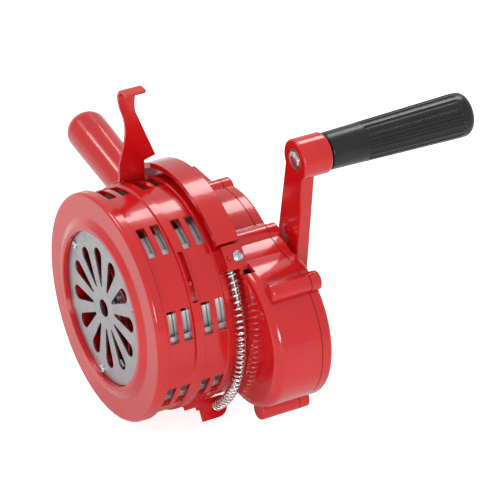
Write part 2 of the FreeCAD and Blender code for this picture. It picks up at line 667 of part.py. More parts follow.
def strip_outline():
    """Closed section of the bent strip in X and Z, from the foot on the ring to the lip."""
    top = number("lever_top")
    bend = number("lever_bend")
    lip = number("lever_lip")
    lip_round = number("lever_lip_round")
    mid = lever_seat + plate_thickness
    start_angle = math.degrees(math.acos(inner_x / lever_seat))
    meet_low = around(lever_seat, start_angle)
    far_low, far_high = around(lever_seat, foot_end), around(mid, foot_end)
    bend_angle = math.degrees(math.acos((outer_x - bend) / (mid + bend)))
    bend_centre = around(mid + bend, bend_angle)
    meet_high = around(mid, bend_angle)
    side = Vector(outer_x, 0, bend_centre.z)
    halfway = math.radians(bend_angle / 2)
    bend_mid = bend_centre + Vector(bend * math.cos(-halfway * 0 + math.radians(bend_angle - 180) / 2), 0,
                                    bend * math.sin(math.radians(bend_angle - 180) / 2))
    lip_centre = Vector(inner_x + lip_round, 0, top)
    diagonal = math.sqrt(0.5)
    outer_lip, inner_lip = lip_round + plate_thickness, lip_round
    edges = [
        Part.Arc(far_low, around(lever_seat, (foot_end + start_angle) / 2), meet_low).toShape(),
        Part.LineSegment(meet_low, Vector(inner_x, 0, top)).toShape(),
        Part.Arc(Vector(inner_x, 0, top), lip_centre + Vector(-inner_lip * diagonal, 0, inner_lip * diagonal),
                 lip_centre + Vector(0, 0, inner_lip)).toShape(),
        Part.LineSegment(lip_centre + Vector(0, 0, inner_lip), lip_centre + Vector(lip, 0, inner_lip)).toShape(),
        Part.LineSegment(lip_centre + Vector(lip, 0, inner_lip), lip_centre + Vector(lip, 0, outer_lip)).toShape(),
        Part.LineSegment(lip_centre + Vector(lip, 0, outer_lip), lip_centre + Vector(0, 0, outer_lip)).toShape(),
        Part.Arc(lip_centre + Vector(0, 0, outer_lip),
                 lip_centre + Vector(-outer_lip * diagonal, 0, outer_lip * diagonal),
                 Vector(outer_x, 0, top)).toShape(),
        Part.LineSegment(Vector(outer_x, 0, top), side).toShape(),
        Part.Arc(side, bend_mid, meet_high).toShape(),
        Part.Arc(meet_high, around(mid, (bend_angle + foot_end) / 2), far_high).toShape(),
        Part.LineSegment(far_high, far_low).toShape(),
    ]
    return Part.Face(Part.Wire(edges))


def lever_side():
    """Outline of the lever seen along X, as (y, z) points joined by lines and two arcs."""
    front, back = number("lever_front"), number("lever_back")
    high = number("lever_top + lever_lip_round + lever_plate") + 1
    low = 40.0
    ear_tip, ear_root = Vector(0, 57.0, 78.9), Vector(0, back, 76.9)
    neck_back, neck_front = Vector(0, 43.3, 113.5), Vector(0, 33.2, 115.5)
    crown_back, crown_front = Vector(0, 46.6, high), Vector(0, 32.6, high)
    waist = Vector(0, 36.0, 103.0)
    edges = [
        Part.LineSegment(Vector(0, front, low), Vector(0, back, low)).toShape(),
        Part.LineSegment(Vector(0, back, low), ear_root).toShape(),
        Part.LineSegment(ear_root, ear_tip).toShape(),
        Part.LineSegment(ear_tip, neck_back).toShape(),
        Part.Arc(neck_back, Vector(0, 43.2, 123.5), crown_back).toShape(),
        Part.LineSegment(crown_back, crown_front).toShape(),
        Part.Arc(crown_front, Vector(0, 31.6, 124.0), neck_front).toShape(),
        Part.Arc(neck_front, waist, Vector(0, 34.6, 90.0)).toShape(),
        Part.LineSegment(Vector(0, 34.6, 90.0), Vector(0, front, 77.0)).toShape(),
        Part.LineSegment(Vector(0, front, 77.0), Vector(0, front, low)).toShape(),
    ]
    return Part.Face(Part.Wire(edges))


lever_strip = placed(strip_outline(), Placement(Vector(0, 20, 0), Rotation())).extrude(Vector(0, 50, 0))
lever_block = placed(lever_side(), Placement(Vector(-80, 0, 0), Rotation())).extrude(Vector(90, 0, 0))
ridge_room = placed(Part.makeCylinder(number("shutter_outer + ridge_height") + 0.4, number("ridge_width") + 8), Placement(
    Vector(0, number("ridge_middle + ridge_width / 2") + 0.3 - number("ridge_width") - 8, 0), ALONG_Y))
lever = lever_strip.common(lever_block).cut(ridge_room)
for angle, y in LEVER_RIVETS:
    hole = Part.makeCylinder(number(rivet_hole), 12)
    lever = lever.cut(placed(hole, facing(around(lever_seat - 4, angle, y), around(1, angle))))
finish("finger_lever", made("finger_lever", lever))

ring_rivet = rivet(number("rivet_head"), number("rivet_head_height"), number("rivet_radius"),
                   plate_thickness + number("seat + shutter_outer - drum_radius - ring_running"))
finish("lever_rivets", made("lever_rivets", compound([
    placed(ring_rivet, facing(around(lever_seat + plate_thickness, angle, y), around(1, angle)))
    for angle, y in LEVER_RIVETS])))

# Spring lug: a foot riveted to the ring and a round plate square to the spring

foot_low, foot_high = number("shutter_outer + seat"), number("shutter_outer + seat + lug_foot_thickness")


def ring_segment(inner, outer, angle_from, angle_to, start, end):
    """Block of a ring about the rotor's axis."""
    face = Part.Face(Part.Wire(Part.__sortEdges__([
        Part.Arc(around(inner, angle_from), around(inner, (angle_from + angle_to) / 2), around(inner, angle_to)).toShape(),
        Part.LineSegment(around(inner, angle_to), around(outer, angle_to)).toShape(),
        Part.Arc(around(outer, angle_to), around(outer, (angle_from + angle_to) / 2), around(outer, angle_from)).toShape(),
        Part.LineSegment(around(outer, angle_from), around(inner, angle_from)).toShape()])))
    return placed(face, Placement(Vector(0, start, 0), Rotation())).extrude(Vector(0, end - start, 0))


lug_face_angle = number("spring_low_angle") - math.degrees(number("lug_clearance") / number("spring_low_radius"))
down_the_ring = around(1, lug_face_angle - 90)
lug_foot = ring_segment(foot_low, foot_high, lug_face_angle - number("lug_foot_span"), lug_face_angle,
                        number("lug_foot_front"), number("shutter_end - lip_width"))
disc_centre = around(number("lug_disc_radius_at"), lug_face_angle, number("spring_y"))
lug_round = placed(Part.makeCylinder(number("lug_disc"), number("lug_plate")), facing(disc_centre, down_the_ring))
web_low = number("shutter_outer + lip_height") + 0.3
web = Part.makeBox(number("lug_plate"), number("spring_y") - 44.0,
                   number("lug_disc_radius_at + lug_disc") - web_low + 1)
web_turn = Rotation(around(1, lug_face_angle - 90), Vector(0, 1, 0), around(1, lug_face_angle), "XYZ")
lug_web = placed(web, Placement(around(web_low - 1, lug_face_angle, 44.0), web_turn))
short_web = Part.makeBox(number("lug_plate"), number("shutter_end - lip_width - lug_foot_front"), web_low - foot_low + 3)
lug_riser = placed(short_web, Placement(around(foot_low + 0.2, lug_face_angle, number("lug_foot_front")), web_turn))
above_lip = ring_segment(web_low, web_low + 30, lug_face_angle - 8, lug_face_angle + 8, 40.0, 70.0)
lug = lug_round.fuse(lug_web).common(above_lip).fuse([lug_riser, lug_foot])
corner = placed(Part.makeBox(20, 14, 20, Vector(-5, -14, 0)),
                Placement(around(number("lug_disc_radius_at"), lug_face_angle, 46.0), web_turn))
lug = lug.cut(corner).removeSplitter()
for angle, y in LUG_RIVETS:
    hole = Part.makeCylinder(number(rivet_hole), 12)
    lug = lug.cut(placed(hole, facing(around(foot_low - 4, angle, y), around(1, angle))))
finish("spring_lug", made("spring_lug", lug))
lug_rivet = rivet(number("rivet_head") * 0.85, number("rivet_head_height"), number("rivet_radius"),
                  number("lug_foot_thickness + seat + shutter_outer - drum_radius - ring_running"))
finish("lug_rivets", made("lug_rivets", compound([
    placed(lug_rivet, facing(around(foot_high, angle, y), around(1, angle))) for angle, y in LUG_RIVETS])))

# Gear housing


def case_circles(name, grow, start, end, front_round=None, back_round=None):
    """The case's three round lobes, each a turned cup with one rounded end."""
    rounds_at = start if front_round else end
    parts = []
    for i, (radius, x, z) in enumerate((("main_radius", "0", "0"), ("middle_radius", "middle_x", "0"),
                                        ("lobe_radius", "lobe_x", "lobe_z"))):
        grown = f"{radius} + ({grow})"
        rounding = front_round or back_round
        profile = [("0", start), (grown, start), (grown, end), ("0", end)]
        rounds = [(rounding, [(grown, rounds_at)])] if rounding else []
        parts.append(turned(f"{name}_{i}", profile, rounds, x, z))
    return parts


def case_bosses(name, grow, start, end, front_round=None, back_round=None):
    """The screw bosses round the case."""
    parts = []
    for i, (x, z) in enumerate(COVER_SCREWS):
        rounding = front_round or back_round
        rounds_at = start if front_round else end
        grown = f"boss_radius + ({grow})"
        profile = [("0", start), (grown, start), (grown, end), ("0", end)]
        rounds = [(rounding, [(grown, rounds_at)])] if rounding else []
        parts.append(turned(f"{name}_{i}", profile, rounds, str(x), str(z)))
    return parts


def case_block(name, grow, start, end):
    """The block that carries the side handle, with rounded long edges."""
    body = new_body(name)
    sketch = sketch_on(body, "XZ_Plane", name + "_outline", shift=f"-({start})")
    left, right = f"block_left - ({grow})", f"block_right + ({grow})"
    low, high = f"block_bottom - ({grow})", f"block_top + ({grow})"
    polygon(sketch, [(left, low), (right, low), (right, high), (left, high)])
    pad(body, name + "_pad", sketch, f"({end}) - ({start})", reverse=True)
    wanted = [f"Edge{i}" for i, e in enumerate(body.Shape.Edges, start=1)
              if abs(e.Vertexes[0].X - e.Vertexes[-1].X) < 1e-6 and abs(e.Vertexes[0].Z - e.Vertexes[-1].Z) < 1e-6
              and e.Vertexes[0].X < number(right) - 1]
    last = body.Tip
    feature = body.newObject("PartDesign::Fillet", name + "_round")
    feature.Base = (last, wanted)
    tie(feature, "Radius", "block_round")
    body.Tip = feature
    doc.recompute()
    return body


def case_cavity(name, start, end):
    """The hollow of the case: its round lobes less the wall."""
    return [cylinder(f"{name}_{i}", f"{radius} - shell_wall", start, end, x, z)
            for i, (radius, x, z) in enumerate((("main_radius", "0", "0"), ("middle_radius", "middle_x", "0"),
                                                ("lobe_radius", "lobe_x", "lobe_z")))]


shroud_angles = ("shroud_from", "shroud_to")
shroud = cut("shroud", sector("shroud_outside", "shroud_radius", "housing_start", "shroud_back", *shroud_angles), [
    sector("shroud_hollow", "shroud_radius - shroud_wall", "housing_start - 1", "shell_front",
           "shroud_from - 10", "shroud_to + 10"),
    cylinder("shroud_core", "main_radius - 2", "housing_start - 1", "shroud_back + 1")])
pad_angles = ("spring_top_angle + 1.4", "bracket_top_angle")
bracket_pad = cut("bracket_pad", sector("bracket_pad_outside", "bracket_radius", "bracket_front", "bracket_back", *pad_angles), [
    cylinder("bracket_pad_core", "shutter_outer - 1", "housing_start", "shell_front + 1"),
    cylinder("bracket_pad_heart", "main_radius - 2", "shell_front", "bracket_back + 1")])
housing_parts = case_circles("case", "0", "shell_front", "seam", front_round="shell_round")
housing_parts += case_bosses("case_boss", "0", "boss_front", "seam", front_round="boss_round")
housing_parts += [case_block("case_block", "0", "shell_front", "seam"), shroud, bracket_pad,
                  cylinder("housing_rim", "shutter_outer", "housing_start", "wall_front"),
                  cylinder("housing_wall", "shutter_outer", "wall_front", "wall_back")]
drum_screw_holes = screw_holes("housing_drum_hole", "cover_shank + hole_clearance", "wall_front - 1",
                               "shroud_back + 1", "lug_circle", DRUM_SCREW_ANGLES)
cover_holes = [cylinder(f"housing_thread_{i}", "cover_shank + seat", "cover_back - cover_length - 1", "seam + 1",
                        str(x), str(z)) for i, (x, z) in enumerate(COVER_SCREWS)]
shell = cut("case_shell", fuse("case_solid", housing_parts), case_cavity("case_cavity", "wall_back", "seam + 1"))
inner_bosses = [turned(f"inner_boss_{i}", [
    ("0", "boss_front + boss_round"), ("boss_radius", "boss_front + boss_round"), ("boss_radius", "seam"), ("0", "seam")],
    x=str(x), z=str(z)) for i, (x, z) in enumerate(COVER_SCREWS)]
bearing_front = "rotor_back + collar_width"
bearing_back = "rotor_back + collar_width + front_race_width"
housing_solid = fuse("housing_solid", [
    shell, cylinder("bearing_boss", "front_race_radius + 4", f"{bearing_front} - 0.4", "wall_back"),
    cylinder("bush_boss", "crank_collar + 3", "wall_front", "wall_back + 4.5", "crank_x", "crank_z")] + inner_bosses)
rise = math.radians(number("handle_rise"))
handle_foot = Vector(number("block_left"), number("handle_y"), number("handle_z"))
handle_way = Vector(-math.cos(rise), 0, math.sin(rise))
stud_hole = fresh("Part::Cylinder", "stud_hole")
tie(stud_hole, "Radius", "stud_radius + seat")
tie(stud_hole, "Height", "stud_in_block + 4")
stud_hole.Placement = facing(handle_foot - handle_way * number("stud_in_block"), handle_way)

idler_reach = number("coarse_module * (crank_teeth + idler_pinion_teeth) / 2")
rotor_reach = number("fine_module * (idler_teeth + rotor_pinion_teeth) / 2")
crank_centre = Vector(number("crank_x"), 0, number("crank_z"))
apart = crank_centre.Length
along = (apart ** 2 + rotor_reach ** 2 - idler_reach ** 2) / (2 * apart)
off = math.sqrt(rotor_reach ** 2 - along ** 2)
towards = crank_centre * (1 / apart)
idler_centre = towards * along + Vector(-towards.z, 0, towards.x) * off
idler_x, idler_z = str(round(idler_centre.x, 6)), str(round(idler_centre.z, 6))
print("idler axis", idler_x, idler_z)

bracket_seat = cut("bracket_seat", sector("bracket_room", "bracket_radius + 12", "bracket_front - 1",
                                          "bracket_back + 0.4", "spring_top_angle - 3", "bracket_top_angle + 0.3"), [
    cylinder("bracket_land", "bracket_radius", "housing_start - 1", "shroud_back + 2")])
bracket_peg = radial("bracket_peg", "peg_radius", "bracket_radius - 1", "bracket_radius + bracket_plate + peg_stand",
                     "bracket_screw_angle", "peg_y")
finish("gear_housing", fuse("gear_housing", [bracket_peg, cut("housing_cut", housing_solid, [
    bracket_seat,
    cylinder("rim_bore", "drum_radius + seat", "housing_start - 1", "wall_front + seat"),
    cylinder("bearing_pocket", "front_race_radius + seat", f"{bearing_front} - 1", f"{bearing_back} + seat"),
    cylinder("shaft_passage", "shaft_collar - 0.5", f"{bearing_front}", "wall_back + 1"),
    cylinder("bush_pocket", "crank_shaft_radius + bush_wall + seat", "wall_back - bush_inset", "wall_back + 5",
             "crank_x", "crank_z"),
    cylinder("axle_pocket", "axle_radius + seat", "shell_front - seat", "wall_back + 1", idler_x, idler_z),
    radial("bracket_thread", "cover_shank + seat", "bracket_radius - bracket_screw_length - 0.5", "bracket_radius + 1",
           "bracket_screw_angle", "bracket_screw_y"),
    stud_hole] + drum_screw_holes + cover_holes)]))

drum_screw = pan_screw(number("cover_head") * 0.9, number("cover_head_height"), number("cover_shank"),
                       number("drum_screw_length"))
backs = {330.0: "wall_back"}
finish("drum_screws", made("drum_screws", compound([
    placed(drum_screw, facing(around(number("lug_circle"), a, number(backs.get(a, "shroud_back"))), Vector(0, 1, 0)))
    for a in DRUM_SCREW_ANGLES])))

# Gasket, rear cover and cover screws

gasket_back = "seam + gasket_thickness"
gasket = cut("gasket_ring", fuse("gasket_outline", case_circles("gasket", "-gasket_inset", "seam", gasket_back) + [
    case_block("gasket_block", "-gasket_inset", "seam", gasket_back)]),
    [cylinder(f"gasket_window_{i}", f"{radius} - shell_wall", "seam - 1", f"{gasket_back} + 1", x, z)
     for i, (radius, x, z) in enumerate((("main_radius", "0", "0"), ("middle_radius", "middle_x", "0"),
                                         ("lobe_radius", "lobe_x", "lobe_z")))])
gasket = fuse("gasket_with_ears", [gasket] + case_bosses("gasket_ear", "-gasket_inset", "seam", gasket_back))
finish("cover_gasket", cut("cover_gasket", gasket, [
    cylinder(f"gasket_hole_{i}", "cover_shank + hole_clearance", "seam - 1", f"{gasket_back} + 1", str(x), str(z))
    for i, (x, z) in enumerate(COVER_SCREWS)]))

cover_inside = case_cavity("cover_cavity", f"{gasket_back} - 1", "cover_back - cover_skin")
cover_shell = cut("cover_shell", fuse("cover_outline", case_circles(
    "cover", "0", gasket_back, "cover_back", back_round="cover_round") + [
    case_block("cover_block", "0", gasket_back, "cover_back")]), cover_inside)
rear_bearing_back = "rear_bearing_front + rear_race_width"
cover_solid = fuse("cover_solid", [cover_shell] + case_bosses(
    "cover_boss", "0", gasket_back, "cover_back", back_round="boss_round * 0.6") + [
    turned("cover_pad", [("0", "cover_back - 1"), ("hub_pad_radius", "cover_back - 1"),
                         ("hub_pad_radius", "cover_back + hub_pad_height"), ("0", "cover_back + hub_pad_height")],
           [("hub_pad_height * 0.8", [("hub_pad_radius", "cover_back + hub_pad_height")])], "crank_x", "crank_z"),
    turned("cover_crank_boss", [("0", f"{gasket_back} + 0.6"), ("hub_boss_radius", f"{gasket_back} + 0.6"),
                                ("hub_boss_radius", "hub_boss_back"), ("0", "hub_boss_back")],
           [("1", [("hub_boss_radius", "hub_boss_back")])], "crank_x", "crank_z"),
    turned("cover_bearing_boss", [("0", f"{gasket_back}"), ("bearing_boss_radius", f"{gasket_back}"),
                                  ("bearing_boss_radius", "bearing_boss_back"), ("0", "bearing_boss_back")],
           [("1", [("bearing_boss_radius", "bearing_boss_back")])]),
    cylinder("cover_axle_boss", "axle_radius + 3", "idler_hub_back + 0.3", "cover_back - 1", idler_x, idler_z)])
finish("gear_cover", cut("gear_cover", cover_solid, [
    cylinder("cover_bush_bore", "crank_shaft_radius + bush_wall + seat", gasket_back,
             "hub_boss_back + 1", "crank_x", "crank_z"),
    cylinder("cover_seal_pocket", "seal_radius + seat", "hub_boss_back - seal_thickness", "hub_boss_back + 1",
             "crank_x", "crank_z"),
    cylinder("cover_bearing_pocket", "rear_race_radius + seat", f"{gasket_back} - 1", f"{rear_bearing_back} + seat"),
    cylinder("cover_shaft_relief", "shaft_tail_radius + 1.2", f"{rear_bearing_back} - 1", f"{rear_bearing_back} + 1.2"),
    cylinder("cover_axle_pocket", "axle_radius + seat", "idler_hub_back", "axle_end + 0.2", idler_x, idler_z)] + [
    cylinder(f"cover_hole_{i}", "cover_shank + hole_clearance", f"{gasket_back} - 1", "cover_back + 1", str(x), str(z))
    for i, (x, z) in enumerate(COVER_SCREWS)]))

cover_screw = pan_screw(number("cover_head"), number("cover_head_height"), number("cover_shank"), number("cover_length"))
finish("cover_screws", made("cover_screws", compound([
    placed(cover_screw, facing(Vector(x, number("cover_back"), z), Vector(0, 1, 0))) for x, z in COVER_SCREWS])))

# Rotor, its shaft and its bearings

rotor = new_body("rotor_wheel")
revolve(rotor, "rotor_turn", [
    ("shaft_radius + seat", "rotor_hub_front"), ("rotor_hub", "rotor_hub_front"),
    ("rotor_hub", "rotor_back - rotor_disc"), ("rotor_radius - rotor_wall", "rotor_back - rotor_disc"),
    ("rotor_radius - rotor_wall", "rotor_front + rotor_lip"), ("rotor_eye", "rotor_front + rotor_lip"),
    ("rotor_eye", "rotor_front"), ("rotor_radius", "rotor_front"), ("rotor_radius", "rotor_back"),
    ("shaft_radius + seat", "rotor_back")])
vane_sketch = sketch_on(rotor, "XY_Plane", "vane_profile", turn=180 / number("vane_count"))
polygon(vane_sketch, [("rotor_hub - 1", "rotor_hub_front + 3"), ("rotor_eye - 2", "rotor_hub_front + 3"),
                      ("rotor_eye + 4", "rotor_front + 1"), ("rotor_radius - rotor_wall / 2", "rotor_front + 1"),
                      ("rotor_radius - rotor_wall / 2", "rotor_back - 1"), ("rotor_hub - 1", "rotor_back - 1")])
vane = pad(rotor, "vane", vane_sketch, "vane_thickness", symmetric=True)
polar(rotor, "vanes", vane, "vane_count")
port_sketch = sketch_on(rotor, "YZ_Plane", "port_profile", shift="rotor_eye + 6")
for band_from, band_to in (("band_one_from", "band_one_to"), ("band_two_from", "band_two_to")):
    polygon(port_sketch, [(band_from, "-port_height / 2"), (band_to, "-port_height / 2"),
                          (band_to, "port_height / 2"), (band_from, "port_height / 2")])
port = pocket(rotor, "port", port_sketch, "16", reverse=True)
polar(rotor, "ports", port, "vane_count")
rotor.Placement = Placement(Vector(), turn_about_rotor(number("vane_angle - 180 / vane_count")))
finish("rotor", rotor)

rotor_shaft = turned("rotor_spindle", [
    ("0", "shaft_nose"), ("shaft_tail_radius - 0.4", "shaft_nose"), ("shaft_tail_radius", "shaft_nose + 0.4"),
    ("shaft_tail_radius", "rotor_hub_front"), ("shaft_radius", "rotor_hub_front"), ("shaft_radius", "rotor_back"),
    ("shaft_collar", "rotor_back"), ("shaft_collar", "rotor_back + collar_width"),
    ("shaft_radius", "rotor_back + collar_width"), ("shaft_radius", "wall_front"),
    ("shaft_tail_radius", "wall_front"), ("shaft_tail_radius", "shaft_end"), ("0", "shaft_end")])
finish("rotor_shaft", rotor_shaft)
nut_bore = number("shaft_tail_radius + seat")
nut_back = number("rotor_hub_front - seat - washer_thickness - seat")
finish("rotor_nut", made("rotor_nut", placed(
    hexagon(number("nut_across"), number("nut_height"), nut_bore),
    Placement(Vector(0, nut_back - number("nut_height"), 0), ALONG_Y))))
finish("rotor_washer", tube("rotor_washer", "washer_radius", "shaft_tail_radius + seat",
                            "rotor_hub_front - seat - washer_thickness", "rotor_hub_front - seat"))


def bearing(bore, outer, width, ball, count, start):
    """Inner race, outer race and balls of a ball bearing, with one groove in each race."""
    wall = number("race_wall")
    middle = (bore + outer) / 2
    centre_y = start + width / 2
    groove = Part.makeTorus(middle, ball + 0.03)
    inner = Part.makeCylinder(bore + wall, width, Vector(0, 0, -width / 2)).cut(
        Part.makeCylinder(bore, width + 2, Vector(0, 0, -width / 2 - 1))).cut(groove)
    outside = Part.makeCylinder(outer, width, Vector(0, 0, -width / 2)).cut(
        Part.makeCylinder(outer - wall, width + 2, Vector(0, 0, -width / 2 - 1))).cut(groove)
    balls = [Part.makeSphere(ball, Vector(middle * math.cos(2 * math.pi * i / count),
                                          middle * math.sin(2 * math.pi * i / count), 0)) for i in range(count)]
    place = Placement(Vector(0, centre_y, 0), ALONG_Y)
    return placed(inner, place), placed(outside, place), [placed(b, place) for b in balls]


front_inner, front_outer, front_balls = bearing(
    number("shaft_radius + seat"), number("front_race_radius"), number("front_race_width"), number("front_ball"),
    int(number("front_ball_count")), number(bearing_front))
rear_inner, rear_outer, rear_balls = bearing(
    number("shaft_tail_radius + seat"), number("rear_race_radius"), number("rear_race_width"), number("rear_ball"),
    int(number("rear_ball_count")), number("rear_bearing_front"))
finish("bearing_inner_races", made("bearing_inner_races", compound([front_inner, rear_inner])))
finish("bearing_outer_races", made("bearing_outer_races", compound([front_outer, rear_outer])))
finish("bearing_balls", made("bearing_balls", compound(front_balls + rear_balls)))

# Gear train: each pinion's phase puts a tooth of one gear in a gap of the next

crank_to_idler = math.degrees(math.atan2(idler_centre.z - crank_centre.z, idler_centre.x - crank_centre.x))
idler_to_rotor = math.degrees(math.atan2(-idler_centre.z, -idler_centre.x))
crank_teeth, idler_pinion_teeth = number("crank_teeth"), number("idler_pinion_teeth")
idler_teeth, rotor_teeth = number("idler_teeth"), number("rotor_pinion_teeth")
idler_pinion_phase = crank_to_idler + 180 + 180 / idler_pinion_teeth
rotor_pinion_phase = idler_to_rotor + 180 + 180 / rotor_teeth
coarse, fine = number("coarse_module"), number("fine_module")
coarse_from, coarse_to = number("coarse_from"), number("coarse_to")
fine_from, fine_to = number("fine_from"), number("fine_to")
overhang = number("pinion_overhang")
hub_r = number("idler_hub")

crank_gear = gear(crank_teeth, coarse, coarse_from, coarse_to, number("crank_shaft_radius + seat"), crank_to_idler,
                  crank_centre.x, crank_centre.z)
keyway = number("key_width") + 0.1
key_high = number("crank_shaft_radius + key_depth")
crank_gear = crank_gear.cut(Part.makeBox(keyway, 20, key_high + 0.1, Vector(
    crank_centre.x - keyway / 2, coarse_from - 5, crank_centre.z)))
lightening = [placed(Part.makeCylinder(6.5, 20), Placement(
    crank_centre + around(22, 30 + 60 * i, coarse_from - 5), ALONG_Y)) for i in range(6)]
for hole in lightening:
    crank_gear = crank_gear.cut(hole)
finish("crank_gear", made("crank_gear", crank_gear))
idler_pinion = gear(idler_pinion_teeth, coarse, coarse_from - overhang, coarse_to + overhang, number(
    "axle_radius + running"), idler_pinion_phase, idler_centre.x, idler_centre.z)
sleeve_front = Part.makeCylinder(hub_r, coarse_from - overhang - number("wall_back + 0.7"))
sleeve_back = Part.makeCylinder(hub_r, number("idler_hub_back") - coarse_to - overhang)
idler_pinion = idler_pinion.fuse([
    placed(sleeve_front, Placement(idler_centre + Vector(0, number("wall_back + 0.7"), 0), ALONG_Y)),
    placed(sleeve_back, Placement(idler_centre + Vector(0, coarse_to + overhang, 0), ALONG_Y))]).cut(
    placed(Part.makeCylinder(number("axle_radius + running"), 60), Placement(
        idler_centre + Vector(0, 50, 0), ALONG_Y))).removeSplitter()
finish("idler_pinion", made("idler_pinion", idler_pinion))
finish("idler_gear", made("idler_gear", gear(idler_teeth, fine, fine_from, fine_to, hub_r + number("seat"),
                                             idler_to_rotor, idler_centre.x, idler_centre.z)))
finish("rotor_pinion", made("rotor_pinion", gear(rotor_teeth, fine, fine_from - overhang, fine_to + overhang, number(
    "shaft_tail_radius + seat"), rotor_pinion_phase, 0, 0)))
finish("idler_axle", cylinder("idler_axle", "axle_radius", "shell_front", "axle_end", idler_x, idler_z))

# Crank shaft and what sits on it

crank_shaft = turned("crank_shaft_turned", [
    ("0", "shaft_front"), ("crank_shaft_radius - 0.5", "shaft_front"), ("crank_shaft_radius", "shaft_front + 0.5"),
    ("crank_shaft_radius", "clip_front"), ("crank_shaft_radius - clip_groove", "clip_front"),
    ("crank_shaft_radius - clip_groove", "clip_front + clip_thickness + 0.1"),
    ("crank_shaft_radius", "clip_front + clip_thickness + 0.1"), ("crank_shaft_radius", "coarse_to + seat"),
    ("crank_collar", "coarse_to + seat"), ("crank_collar", "seam + gasket_thickness + 0.4"),
    ("crank_shaft_radius", "seam + gasket_thickness + 0.4"), ("crank_shaft_radius", "arm_front + arm_thickness"),
    ("crank_thread", "arm_front + arm_thickness"), ("crank_thread", "thread_end - 0.6"),
    ("crank_thread - 0.6", "thread_end"), ("0", "thread_end")], x="crank_x", z="crank_z")
flat_back = "arm_front + arm_thickness + 0.5"
shaft_cuts = [box("shaft_keyway", "crank_x - key_width / 2 - seat", "crank_x + key_width / 2 + seat",
                  "coarse_from - seat", "coarse_to + 2", "crank_z + crank_shaft_radius - key_depth - seat",
                  "crank_z + crank_shaft_radius + 0.1")]
for side, low, high in (("left", "-crank_shaft_radius - 1", "-crank_flat"), ("right", "crank_flat", "crank_shaft_radius + 1")):
    shaft_cuts.append(box(f"shaft_flat_{side}", f"crank_x + ({low})", f"crank_x + ({high})", "arm_front - 0.2",
                          flat_back, "crank_z - 8", "crank_z + 8"))
finish("crank_shaft", cut("crank_shaft", crank_shaft, shaft_cuts))
finish("crank_key", box("crank_key", "crank_x - key_width / 2", "crank_x + key_width / 2", "coarse_from",
                        "coarse_to", "crank_z + crank_shaft_radius - key_depth", "crank_z + key_top"))
clip_start = "clip_front + seat"
clip = cut("clip", cylinder("clip_outside", "clip_outer", clip_start, f"{clip_start} + clip_thickness",
                            "crank_x", "crank_z"), [
    cylinder("clip_bore", "crank_shaft_radius - clip_groove + seat", f"{clip_start} - 1",
             f"{clip_start} + clip_thickness + 1", "crank_x", "crank_z"),
    box("clip_gap", "crank_x - 3.2", "crank_x + 3.2", f"{clip_start} - 1", f"{clip_start} + clip_thickness + 1",
        "crank_z - clip_outer - 1", "crank_z")])
finish("retaining_ring", clip)
bush_outer = "crank_shaft_radius + bush_wall"
front_bush = tube("front_bush", bush_outer, "crank_shaft_radius + running", "wall_back - bush_inset + seat",
                  "wall_back - bush_inset + bush_length", "crank_x", "crank_z")
rear_bush = tube("rear_bush", bush_outer, "crank_shaft_radius + running", "seam + gasket_thickness + 0.7",
                 "seam + gasket_thickness + 0.7 + bush_length", "crank_x", "crank_z")
finish("crank_bushes", fuse("crank_bushes", [front_bush, rear_bush]))
finish("shaft_seal", tube("shaft_seal", "seal_radius", "crank_shaft_radius + running",
                          "hub_boss_back - seal_thickness + seat", "hub_boss_back - 0.3", "crank_x", "crank_z"))

# Crank arm, drawn along its own X axis from the shaft to the hub

arm_turn = turn_about_rotor(90 - number("arm_lean"))
arm_body = new_body("arm_bar")
arm_sketch = sketch_on(arm_body, "XZ_Plane", "arm_outline", shift="-arm_front")
tapered_slot(arm_sketch, "0", "arm_foot_radius", "arm_reach", "arm_top_radius")
pad(arm_body, "arm_pad", arm_sketch, "arm_thickness", reverse=True)
last = arm_body.Tip
arm_edges = arm_body.newObject("PartDesign::Fillet", "arm_edges")
arm_edges.Base = (last, [f"Edge{i}" for i, e in enumerate(last.Shape.Edges, start=1)
                         if abs(e.BoundBox.YLength) < 1e-6])
tie(arm_edges, "Radius", "arm_round")
arm_body.Tip = arm_edges
arm_hub = turned("arm_hub", [("0", "arm_front"), ("hub_radius", "arm_front"), ("hub_radius", "arm_front + hub_length"),
                             ("0", "arm_front + hub_length")],
                 [("hub_round * 0.5", [("hub_radius", "arm_front")]),
                  ("hub_round", [("hub_radius", "arm_front + hub_length")])], x="arm_reach")
arm_solid = fuse("arm_solid", [arm_body, arm_hub])
arm_bore = cut("arm_bore", cylinder("arm_bore_round", "crank_shaft_radius + seat", "arm_front - 1",
                                    "arm_front + arm_thickness + 1"), [
    box("arm_bore_left", "-crank_shaft_radius - 1", "-crank_flat - seat", "arm_front - 2",
        "arm_front + arm_thickness + 2", "-8", "8"),
    box("arm_bore_right", "crank_flat + seat", "crank_shaft_radius + 1", "arm_front - 2",
        "arm_front + arm_thickness + 2", "-8", "8")])
arm_bore.Placement = Placement(Vector(), arm_turn.inverted())
arm = cut("crank_arm", arm_solid, [
    arm_bore, cylinder("hub_bore", "bush_outer_radius + seat", "arm_front - 1", "arm_front + hub_length + 1", "arm_reach"),
    cylinder("hub_counterbore", "counterbore", "arm_front - 1", "arm_front + counterbore_depth", "arm_reach")])
arm.Placement = Placement(crank_centre, arm_turn)
finish("crank_arm", arm)
hub_centre = crank_centre + around(number("arm_reach"), 90 - number("arm_lean"))
hub_x, hub_z = str(round(hub_centre.x, 6)), str(round(hub_centre.z, 6))
print("hub axis", hub_x, hub_z)
finish("hub_bush", tube("hub_bush", "bush_outer_radius", "spindle_radius + running", "arm_front + counterbore_depth + 0.1",
                        "arm_front + hub_length", hub_x, hub_z))
arm_back = "arm_front + arm_thickness"
